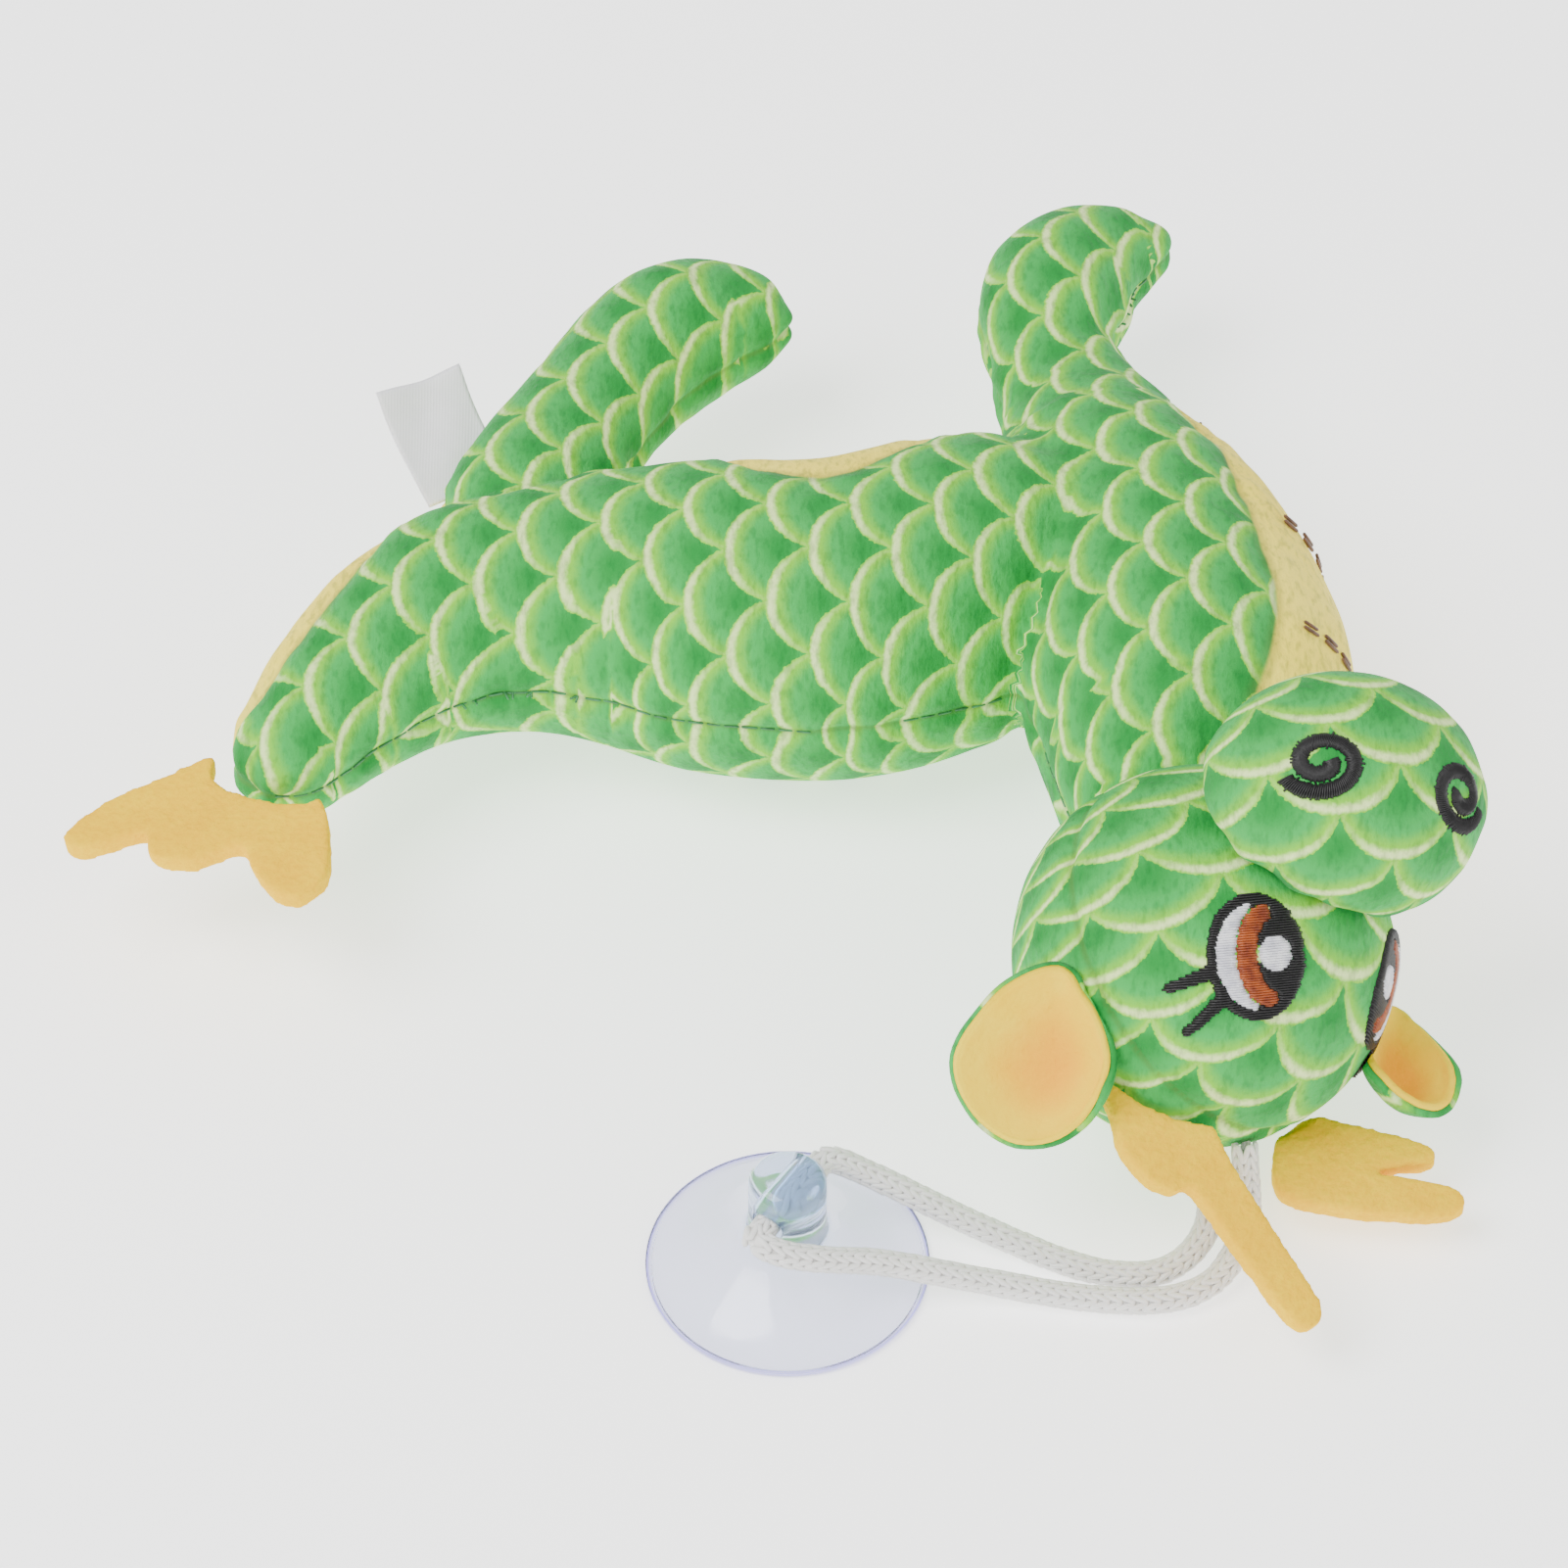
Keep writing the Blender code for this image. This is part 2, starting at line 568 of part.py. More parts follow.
def chest_stitch(number, y, grown_body, parts, thread):
    """Thread of one row of running stitches, laid over the chest gusset at one y."""
    path = spline([Vector(p) * MM for p in CHEST], 8)
    near = min(path, key=lambda p: abs(p.y - y))
    centre = Vector((near.x, y, MID_Z))
    half = GUSSET_ANGLE * STITCH_SHARE[number]
    count = 10
    curve = bpy.data.curves.new(f"chest_stitch_{number}", "CURVE")
    curve.dimensions = "3D"
    curve.bevel_depth = THREAD_D / 2
    curve.bevel_resolution = 1
    curve.use_fill_caps = True
    line = curve.splines.new("POLY")
    line.points.add(count)
    for i, point in enumerate(line.points):
        angle = half * (2 * i / count - 1)
        outward = Vector((math.cos(angle), 0, math.sin(angle)))
        spot = grown_body.ray_cast(centre + outward * 0.1, -outward)[1]
        point.co = (*(spot + outward * (THREAD_D / 2 + GAP)), 1)
    obj = bpy.data.objects.new(curve.name, curve)
    parts.objects.link(obj)
    curve.materials.append(thread)


# ---- cord and suction cup -----------------------------------------------------------
def cord_path():
    """Out from the crown, straight through the knob and back to the crown."""
    hole = CUP_CENTRE + Vector((0, 0, HOLE_Z))
    run = Vector((math.cos(HOLE_ANGLE), math.sin(HOLE_ANGLE), 0)) * (KNOB_R + 0.4 * MM)
    out = [Vector(p) * MM for p in CORD_OUT]
    back = [Vector(p) * MM for p in CORD_BACK]
    first, last = (HEAD_CENTRE + Vector(d).normalized() * (HEAD_R + 2 * GAP) for d in CORD_EXITS)
    return [first, *out, hole - run, hole, hole + run, *back, last]


def cord(parts, knitted):
    points = spline(cord_path(), 3)
    curve = bpy.data.curves.new("cord", "CURVE")
    curve.dimensions = "3D"
    curve.bevel_depth = CORD_D / 2
    curve.bevel_resolution = 2
    curve.use_fill_caps = True
    line = curve.splines.new("POLY")
    line.points.add(len(points) - 1)
    for point, spot in zip(line.points, points):
        point.co = (*spot, 1)
    obj = bpy.data.objects.new("cord", curve)
    parts.objects.link(obj)
    obj.data.materials.append(knitted)


def suction_cup(parts, cutters, clear):
    """Turned bell with a knob, cross-drilled for the cord."""
    outer = [(0, CUP_H), (KNOB_R - 1.2 * MM, CUP_H), (KNOB_R, CUP_H - 1.2 * MM),
             (KNOB_R, CUP_BELL_H + 1.5 * MM), (KNOB_R + 1.4 * MM, CUP_BELL_H - 0.6 * MM)]
    count = 6
    for i in range(1, count + 1):
        share = i / count
        radius = KNOB_R + 1.4 * MM + (CUP_R - KNOB_R - 1.4 * MM) * share
        outer.append((radius, 1.0 * MM + (CUP_BELL_H - 1.6 * MM) * (1 - share) ** 1.5))
    rim = [(CUP_R, 0), (CUP_R - 1.2 * MM, 0)]
    inner = [(r, max(z - CUP_WALL, 0.4 * MM)) for r, z in outer[-2:4:-1]]
    inner.append((0, CUP_BELL_H - 0.6 * MM - CUP_WALL))
    bm = bmesh.new()
    ring = [bm.verts.new((r, 0, z)) for r, z in outer + rim + inner]
    for a, b in zip(ring, ring[1:]):
        bm.edges.new((a, b))
    mesh = bpy.data.meshes.new("suction_cup")
    bm.to_mesh(mesh)
    bm.free()
    cup = bpy.data.objects.new("suction_cup", mesh)
    parts.objects.link(cup)
    turn = cup.modifiers.new("turn", "SCREW")
    turn.steps = turn.render_steps = 36
    turn.use_merge_vertices = True
    turn.merge_threshold = 0.01 * MM
    turn.use_smooth_shade = True
    bpy.ops.mesh.primitive_cylinder_add(vertices=20, radius=HOLE_D / 2, depth=4 * KNOB_R)
    drill = bpy.context.active_object
    drill.name = "cord_hole"
    for group in drill.users_collection:
        group.objects.unlink(drill)
    cutters.objects.link(drill)
    drill.rotation_euler = (math.pi / 2, 0, HOLE_ANGLE - math.pi / 2)
    drill.location = CUP_CENTRE + Vector((0, 0, HOLE_Z))
    as_cutter(drill)
    cup.location = CUP_CENTRE
    bpy.context.view_layer.update()
    boolean(cup, "DIFFERENCE", drill)
    cup.data.materials.append(clear)


def pivot(parts, name, spot, pieces, carrier=None):
    """Empty on a joint's axis, and the parent of the pieces that move about it."""
    empty = bpy.data.objects.new(name + "_pivot", None)
    parts.objects.link(empty)
    empty.location = spot
    bpy.context.view_layer.update()
    if carrier is not None:
        empty.parent = carrier
        empty.matrix_parent_inverse = carrier.matrix_world.inverted()
    for piece in pieces:
        obj = parts.objects[piece]
        obj.parent = empty
        obj.matrix_parent_inverse = Matrix.Translation(-Vector(spot))
    return empty


def hang_pieces(parts):
    """Give every moving body its pivot."""
    face = [obj.name for obj in parts.objects
            if obj.name.startswith(("head_", "muzzle_", "eye_", "nostril_"))]
    neck = pivot(parts, "head", Vector((NECK_X, NECK_END_Y, HEAD_CENTRE.z)), face)
    for side in ("left", "right"):
        pieces = [f"ear_{side}_outer", f"ear_{side}_lining"]
        pivot(parts, f"ear_{side}", EAR_HINGES[side], pieces, neck)
        pivot(parts, f"horn_{side}", HORN_HINGES[side], [f"horn_{side}"], neck)
    loop = pivot(parts, "cord", CORD_HINGE, ["cord"], neck)
    pivot(parts, "cup", CUP_CENTRE + Vector((0, 0, HOLE_Z)), ["suction_cup"], loop)
    pivot(parts, "tail_fin", FIN_HINGE, ["tail_fin"])
    pivot(parts, "label", LABEL_HINGE, ["label"])


def settle(parts):
    """Move everything so that the origin is the middle of the footprint."""
    bpy.context.view_layer.update()
    for obj in parts.objects:
        if obj.parent is None:
            obj.location -= MIDDLE


def main():
    clear_scene()
    parts = collection(PARTS)
    cutters = collection("cutters")
    green = material("velboa_green_scales", GREEN, 0.85)
    yellow = material("velboa_yellow", YELLOW, 0.9)
    fill = material("polyester_fibre", WHITE, 0.95)
    felt = material("felt_yellow", FELT_YELLOW, 0.95)
    satin = material("label_satin", WHITE, 0.45)
    knitted = material("cord_nylon", WHITE, 0.6)
    clear = material("clear_pvc", CLEAR, 0.1)
    threads = {"black": material("thread_black", BLACK, 0.5),
               "white": material("thread_white", WHITE, 0.5),
               "brown": material("thread_brown", BROWN, 0.5)}
    body(parts, cutters, green, yellow, fill)
    head(parts, cutters, green, fill)
    muzzle(parts, cutters, green, fill)
    for side, name in ((1, "left"), (-1, "right")):
        eye(side, name, parts, cutters, threads)
        nostril(side, name, parts, threads["black"])
    ear("left", Vector((35.5, -62, 31)) * MM, Vector((-0.1, -0.66, 0.75)), parts, cutters,
        green, yellow)
    ear("right", Vector((87, -50, 16)) * MM, Vector((0.5, 0.2, 0.8)), parts, cutters,
        green, yellow)
    horn("left", HORN, (54.5, -68, 24.5), (0.53, -0.74, -0.42), (0.35, -0.43, 0.83),
         parts, cutters, felt)
    horn("right", HORN_FORKED, (64, -61.5, 9.5), (0.98, -0.15, -0.05), (0, -0.2, 0.98),
         parts, cutters, felt)
    grown_body = as_cutter(body_form("grown_body", -GAP, 0, cutters))
    tail_fin(parts, grown_body, felt)
    seam_label(parts, grown_body, satin)
    for number, y in enumerate((8, 32, 62), 1):
        chest_stitch(number, y * MM, grown_body, parts, threads["brown"])
    suction_cup(parts, cutters, clear)
    cord(parts, knitted)
    hang_pieces(parts)
    settle(parts)
    settle(cutters)


main()
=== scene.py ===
# %% [markdown]
# A plush dragon lies on its side, and a clear suction cup hangs on its cord.  Everything is
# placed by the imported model, so the first step loads it and keeps its overall box.
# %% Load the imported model
import bmesh
import bpy
import math
import numpy as np
from mathutils import Matrix, Vector, noise
from mathutils.bvhtree import BVHTree


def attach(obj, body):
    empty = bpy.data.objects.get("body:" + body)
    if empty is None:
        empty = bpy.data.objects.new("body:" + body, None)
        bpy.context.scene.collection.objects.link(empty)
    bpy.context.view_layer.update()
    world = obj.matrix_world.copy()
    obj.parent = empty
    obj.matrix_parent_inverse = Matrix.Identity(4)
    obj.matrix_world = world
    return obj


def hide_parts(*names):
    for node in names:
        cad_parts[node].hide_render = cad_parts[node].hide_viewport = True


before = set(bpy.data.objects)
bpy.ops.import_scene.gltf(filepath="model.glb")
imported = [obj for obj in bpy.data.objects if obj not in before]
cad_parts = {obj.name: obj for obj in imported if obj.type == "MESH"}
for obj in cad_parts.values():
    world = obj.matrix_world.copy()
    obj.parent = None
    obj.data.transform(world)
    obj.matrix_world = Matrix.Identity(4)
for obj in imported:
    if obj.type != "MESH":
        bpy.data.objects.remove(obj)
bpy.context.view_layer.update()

# %% [markdown]
# The toy was drawn about its neck and then moved so that the middle of its footprint is the
# origin.  The same drawing values serve here, and shift() carries them into the model's frame.
# %% Drawing values
MM = 0.001
MIDDLE = Vector((-2.81, 12.06, 0)) * MM
MID_Z_MM = 26                    # height of the plane in which the two body panels meet
MID_Z = MID_Z_MM * MM
HEAD_R = 28 * MM
HEAD_CENTRE = Vector((59, -41, 28.5)) * MM - MIDDLE
HEAD_FORWARD = Vector((0.69, -0.10, 0.72)).normalized()
HEAD_CROWN = Vector((0.17, -0.94, -0.30)).normalized()
NECK_END_Y = -20 * MM - MIDDLE.y
CLOTH = 1.8 * MM                 # from the filling's surface to the outside of the cloth


def shift(x, y, z):
    return Vector((x, y, z)) * MM - MIDDLE


def frame_of(origin, forward, up):
    x = forward.normalized()
    y = up.cross(x).normalized()
    return Matrix.Translation(origin) @ Matrix((x, y, x.cross(y))).transposed().to_4x4()


head_axes = frame_of(HEAD_CENTRE, HEAD_FORWARD, HEAD_CROWN)
muzzle_axes = frame_of(head_axes @ (Vector((31, 2, -10)) * MM), Vector((0.39, -0.41, 0.82)), HEAD_CROWN)
print("head at", tuple(HEAD_CENTRE))

# %% [markdown]
# The camera looks down at the toy from the side its back is on.  A long lens from nearly a
# metre away keeps the shapes free of wide-angle stretch.
# %% Camera
ELEVATION = math.radians(47)
DISTANCE = 0.9
target = shift(0, 0, 20)
camera = bpy.data.objects.new("camera", bpy.data.cameras.new("camera"))
bpy.context.scene.collection.objects.link(camera)
away = Vector((0, -math.cos(ELEVATION), math.sin(ELEVATION)))
camera.location = target + away * DISTANCE
camera.rotation_euler = (-away).to_track_quat("-Z", "Y").to_euler()
camera.data.lens = 140.9
camera.data.sensor_width = 36
bpy.context.scene.camera = camera
print("camera", tuple(camera.location))

# %% [markdown]
# Cord, cloth, felt and plastic all need small helpers: one that links a mesh, one that lists
# its points as an array, and one that turns an object with modifiers into a plain mesh.
# %% Mesh helpers
scene = bpy.context.scene


def add_mesh(name, mesh):
    obj = bpy.data.objects.new(name, mesh)
    scene.collection.objects.link(obj)
    return obj


def from_bmesh(name, bm, smooth=True):
    bmesh.ops.recalc_face_normals(bm, faces=bm.faces[:])
    if bm.calc_volume(signed=True) < 0:
        bmesh.ops.reverse_faces(bm, faces=bm.faces[:])
    mesh = bpy.data.meshes.new(name)
    bm.to_mesh(mesh)
    bm.free()
    for face in mesh.polygons:
        face.use_smooth = smooth
    return add_mesh(name, mesh)


def points_of(mesh):
    flat = np.empty(len(mesh.vertices) * 3)
    mesh.vertices.foreach_get("co", flat)
    return flat.reshape(-1, 3)


def set_points(mesh, points):
    mesh.vertices.foreach_set("co", points.ravel())
    mesh.update()


def normals_of(mesh):
    flat = np.empty(len(mesh.vertices) * 3)
    mesh.vertices.foreach_get("normal", flat)
    return flat.reshape(-1, 3)


def between(a, b, c, d, t):
    """Point of a smooth curve through four points, a share t of the way from b to c."""
    return 0.5 * (2 * b + (c - a) * t + (2 * a - 5 * b + 4 * c - d) * t * t
                  + (3 * b - a - 3 * c + d) * t ** 3)


def bake(obj):
    graph = bpy.context.evaluated_depsgraph_get()
    mesh = bpy.data.meshes.new_from_object(obj.evaluated_get(graph))
    obj.modifiers.clear()
    obj.data = mesh
    return obj


def store(mesh, name, values, kind="FLOAT"):
    layer = mesh.attributes.new(name, kind, "POINT")
    key = "value" if kind == "FLOAT" else "vector"
    layer.data.foreach_set(key, np.asarray(values, dtype=np.float32).ravel())


# %% [markdown]
# Stuffed cloth is round because the filling pushes on it.  Each padded piece starts from the
# filling's solid, is remeshed to an even net, and is blown up by a cloth simulation with
# pressure inside.  The travel of each point is capped, so the piece keeps its size.
# %% Padded cloth helper
def blown_up(node, name, voxel, travel, levels, frames=20):
    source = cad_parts[node].data.copy()
    obj = add_mesh(name, source)
    bm = bmesh.new()
    bm.from_mesh(source)
    bmesh.ops.remove_doubles(bm, verts=bm.verts, dist=0.02 * MM)
    bm.to_mesh(source)
    bm.free()
    source.materials.clear()
    net = obj.modifiers.new("net", "REMESH")
    net.mode = "VOXEL"
    net.voxel_size = voxel
    bake(obj)
    soften = obj.modifiers.new("soften", "SMOOTH")
    soften.factor = 0.5
    soften.iterations = 6
    bake(obj)
    start = points_of(obj.data)
    start_normals = normals_of(obj.data)
    cloth = obj.modifiers.new("cloth", "CLOTH")
    cloth.settings.quality = 5
    cloth.settings.use_pressure = True
    cloth.settings.uniform_pressure_force = 4
    cloth.settings.effector_weights.gravity = 0
    cloth.settings.tension_stiffness = 15
    cloth.settings.bending_stiffness = 0.5
    cloth.point_cache.frame_end = frames
    for number in range(1, frames + 1):
        scene.frame_set(number)
    bake(obj)
    scene.frame_set(1)
    end = points_of(obj.data)
    move = end - start
    far = np.linalg.norm(move, axis=1, keepdims=True)
    move *= np.minimum(1, travel / np.maximum(far, 1e-9))
    set_points(obj.data, start + move + start_normals * (CLOTH - travel * 0.3))
    rounder = obj.modifiers.new("rounder", "SUBSURF")
    rounder.levels = rounder.render_levels = levels
    bake(obj)
    for face in obj.data.polygons:
        face.use_smooth = True
    print(name, len(obj.data.polygons), "faces, moved up to %.1f mm" % (far.max() * 1000))
    return obj


# %% [markdown]
# The body is four stuffed tubes: trunk with tail, chest with neck, and two legs.  Their
# middle lines tell where one tube folds against another, and how the printed cloth wraps
# round each of them.
# %% The body's tubes
TUBES = {
    "trunk": [(-75, -7, 9), (-71, 2, 11.5), (-64, 13, 14), (-55, 23, 17), (-43, 30, 19.5), (-28, 31, 21),
              (-13, 29, 24.5), (8, 27.5, 25), (22, 33, 25), (39, 40, 22)],
    "chest": [(44, 80, 12.5), (46, 64, 16.5), (50, 47, 23), (56, 30, 25), (60, 10, 26), (59.5, -6, 22),
              (59, -20, 18)],
    "front_leg": [(44, 60, 14), (42.5, 76, 13), (41.5, 90, 13), (43, 100, 13.4), (49, 107, 11.5),
                  (55.5, 110, 8.5)],
    "hind_leg": [(-41, 43, 15), (-37, 57, 13.5), (-30, 71.5, 12.3), (-23, 83.5, 12.8),
                 (-15.2, 91.5, 13.2), (-6.8, 93.3, 10.3)],
}


def along_tube(points, tube):
    """Distance of each point outside a tube, with its offset from the middle line and the radius."""
    rows = np.array(tube, dtype=float) * MM
    rows[:, :2] -= np.array(MIDDLE[:2])
    best = np.full(len(points), 1e9)
    offset = np.zeros((len(points), 2))
    radius = np.zeros(len(points))
    for a, b in zip(rows, rows[1:]):
        step = b[:2] - a[:2]
        t = np.clip(((points[:, :2] - a[:2]) @ step) / (step @ step), 0, 1)
        flat = points[:, :2] - (a[:2] + t[:, None] * step)
        r = a[2] + t * (b[2] - a[2])
        gap = np.sqrt((flat ** 2).sum(1) + (points[:, 2] - MID_Z) ** 2) - r
        near = gap < best
        best[near], offset[near], radius[near] = gap[near], flat[near], r[near]
    return best, offset, radius


# %% [markdown]
# The scale print is flat on the cloth before sewing, so a pattern placed by height alone would
# stretch on the sides.  Each point therefore gets print coordinates, measured along the
# cloth's surface.  Its distance to the nearest seam is stored as well, for creases and shade.
# %% Body cover
GUSSETS = [((-20, 30), (33, 30), (0, 1), 22.8, 30), ((59, 76), (59, -44), (1, 0), 21.5, 45),
           ((-78, -2), (-50, 52), (-0.86, 0.5), 11.6, 30)]


def gusset_depth(points):
    """How far inside a yellow gusset each point lies, negative outside, in metres."""
    depth = np.full(len(points), -1.0)
    for start, end, outward, half, far in GUSSETS:
        a, b = np.array(shift(*start, 0))[:2], np.array(shift(*end, 0))[:2]
        out = np.array(outward) / np.linalg.norm(outward)
        t = ((points[:, :2] - a) @ (b - a)) / ((b - a) @ (b - a))
        side = (points[:, :2] - a) @ out
        width = half * MM * np.sin(math.pi * np.clip(t, 0, 1)) ** 0.6
        inside = width - np.abs(points[:, 2] - MID_Z)
        reach = np.where((side > 0) & (side < far * MM) & (t > 0) & (t < 1), inside, -1.0)
        depth = np.maximum(depth, reach)
    return depth


def tube_facts(points):
    gaps, offsets, radii = zip(*(along_tube(points, tube) for tube in TUBES.values()))
    order = np.argsort(np.array(gaps), axis=0)
    pick = order[0], np.arange(len(points))
    ranked = np.sort(np.array(gaps), axis=0)
    return ranked[1] - ranked[0], np.array(offsets)[pick], np.array(radii)[pick]


def pucker(points, distance, depth, width, wave):
    """Inward push near a seam, with small gathers along it."""
    soft = np.array([noise.noise(Vector(p) * 220) for p in points])
    line = np.exp(-(distance / width) ** 2)
    wide = np.exp(-(distance / (3.2 * width)) ** 2)
    return depth * line + wave * wide * (0.4 + soft)


body = blown_up("body_stuffing", "body_cover", 4 * MM, 1.4 * MM, 2)
points = points_of(body.data)
fold, offset, radius = tube_facts(points)
gusset = gusset_depth(points)
seam = np.where(gusset > -4 * MM, np.minimum(np.abs(gusset), 10 * MM), 10 * MM)
seam = np.where(gusset < 0, np.minimum(seam, np.abs(points[:, 2] - MID_Z)), seam)
push = pucker(points, seam, 0.9 * MM, 1.3 * MM, 0.5 * MM)
push += pucker(points, fold, 2.2 * MM, 3.0 * MM, 0.6 * MM)
points = points - normals_of(body.data) * push[:, None]
points[:, 1] = np.maximum(points[:, 1], NECK_END_Y + 0.1 * MM)
points[:, 2] = np.maximum(points[:, 2], 0.2 * MM)
set_points(body.data, points)
flat = np.linalg.norm(offset, axis=1)
angle = np.arctan2(flat, np.abs(points[:, 2] - MID_Z))
wrap = (radius * (angle - np.sin(angle)) / np.maximum(flat, 1e-6))[:, None] * offset
printed = np.column_stack([points[:, :2] + wrap, np.zeros(len(points))])
store(body.data, "print", printed, "FLOAT_VECTOR")
store(body.data, "gusset", gusset)
store(body.data, "seam", np.minimum(seam, fold + 1 * MM))
print("body cover", len(points), "points, yellow share %.2f" % (gusset > 0).mean())

# %% [markdown]
# The head is a ball of two panels with a seam round it, and the snout is a smaller stuffed
# cap that is sewn on askew.  On both, the print runs towards the crown.
# %% Head and muzzle covers
PRINT_STRETCH = 0.78             # the ball pulls the cloth wider


def ball_print(points, axes, radius):
    """Distances along a ball from the point where its frame's X leaves it."""
    local = (np.array(axes.inverted()) @ np.column_stack([points, np.ones(len(points))]).T).T[:, :3]
    length = np.linalg.norm(local, axis=1)
    angle = np.arccos(np.clip(local[:, 0] / np.maximum(length, 1e-9), -1, 1))
    across = np.linalg.norm(local[:, 1:], axis=1)
    scale = PRINT_STRETCH * radius * angle / np.maximum(across, 1e-6)
    return np.column_stack([-local[:, 2] * scale, local[:, 1] * scale, np.zeros(len(points))]), local


head = blown_up("head_stuffing", "head_cover", 3.5 * MM, 0.8 * MM, 2)
points = points_of(head.data)
printed, local = ball_print(points, head_axes, HEAD_R)
seam = np.abs(local[:, 0])
points = points - normals_of(head.data) * pucker(points, seam, 0.7 * MM, 1.2 * MM, 0.3 * MM)[:, None]
points[:, 1] = np.minimum(points[:, 1], NECK_END_Y - 0.1 * MM)
set_points(head.data, points)
store(head.data, "print", printed, "FLOAT_VECTOR")
store(head.data, "gusset", np.full(len(points), -1.0))
store(head.data, "seam", np.minimum(seam, 6 * MM + np.abs(points[:, 1] - NECK_END_Y)))

muzzle = blown_up("muzzle_stuffing", "muzzle_skin", 3 * MM, 0.8 * MM, 2)
points = points_of(muzzle.data)
printed, local = ball_print(points, muzzle_axes, 20 * MM)
from_head = np.linalg.norm(points - np.array(HEAD_CENTRE), axis=1)
base = np.maximum(from_head - HEAD_R, 0)
points = points - normals_of(muzzle.data) * pucker(points, base, 0.2 * MM, 1.5 * MM, 0.4 * MM)[:, None]
set_points(muzzle.data, points)
store(muzzle.data, "print", printed, "FLOAT_VECTOR")
store(muzzle.data, "gusset", np.full(len(points), -1.0))
store(muzzle.data, "seam", np.minimum(base, 10 * MM))
print("head and muzzle", len(head.data.vertices), len(muzzle.data.vertices))

# %% [markdown]
# Every finish is a node material.  A small class keeps the building of nodes short: it makes
# a node, sets its values, and links what is passed in.
# %% Shader helper
class Shader:
    def __init__(self, name, roughness=0.9, **fixed):
        self.material = bpy.data.materials.new(name)
        self.material.use_nodes = True
        self.tree = self.material.node_tree
        self.out = self.tree.nodes["Principled BSDF"]
        self.out.inputs["Roughness"].default_value = roughness
        for key, value in fixed.items():
            self.out.inputs[key.replace("_", " ")].default_value = value

    def put(self, socket, value):
        if isinstance(value, bpy.types.NodeSocket):
            self.tree.links.new(value, socket)
        else:
            socket.default_value = value

    def node(self, kind, *values, out=0, **settings):
        made = self.tree.nodes.new(kind)
        for key, value in settings.items():
            setattr(made, key, value)
        for index, value in enumerate(values):
            if value is not None:
                self.put(made.inputs[index], value)
        return made.outputs[out]

    def math(self, operation, a, b=None):
        return self.node("ShaderNodeMath", a, b, operation=operation)

    def mix(self, share, a, b):
        made = self.tree.nodes.new("ShaderNodeMix")
        made.data_type = "RGBA"
        for index, value in ((0, share), (6, a), (7, b)):
            self.put(made.inputs[index], value)
        return made.outputs[2]

    def step(self, value, low, high):
        """0 below low, 1 above high, smooth between; low may be the larger."""
        made = self.tree.nodes.new("ShaderNodeMapRange")
        made.interpolation_type = "SMOOTHSTEP"
        for index, given in enumerate((value, low, high, 0.0, 1.0)):
            self.put(made.inputs[index], given)
        return made.outputs[0]

    def attribute(self, name, out=2):
        return self.node("ShaderNodeAttribute", attribute_name=name, out=out)

    def place(self):
        return self.node("ShaderNodeTexCoord", out=3)

    def noise(self, where, scale, detail=2.0):
        made = self.tree.nodes.new("ShaderNodeTexNoise")
        self.put(made.inputs["Vector"], where)
        made.inputs["Scale"].default_value = scale
        made.inputs["Detail"].default_value = detail
        return made.outputs[0]

    def colour(self, value):
        self.put(self.out.inputs["Base Color"], value)

    def bump(self, height, strength, distance):
        made = self.tree.nodes.new("ShaderNodeBump")
        self.put(made.inputs["Height"], height)
        made.inputs["Strength"].default_value = strength
        made.inputs["Distance"].default_value = distance
        self.tree.links.new(made.outputs[0], self.out.inputs["Normal"])


# %% [markdown]
# The coat is velboa, a short plush with a printed pattern of overlapping scales.  Each column
# of scales is a row of arcs, and the next column is half a scale further along.  For a point,
# the shader finds the column whose arc it lies behind, then how deep inside the scale it is:
# a white line at the edge, then lime, then green that darkens.
# %% Velboa with printed scales
PITCH, SPACING, ARC = 6.1 * MM, 16 * MM, 8.4 * MM
GREEN, DARK = (0.035, 0.42, 0.075, 1), (0.003, 0.22, 0.03, 1)
LIME, WHITE = (0.24, 0.62, 0.02, 1), (0.72, 0.92, 0.36, 1)
YELLOW = (1.0, 0.78, 0.04, 1)


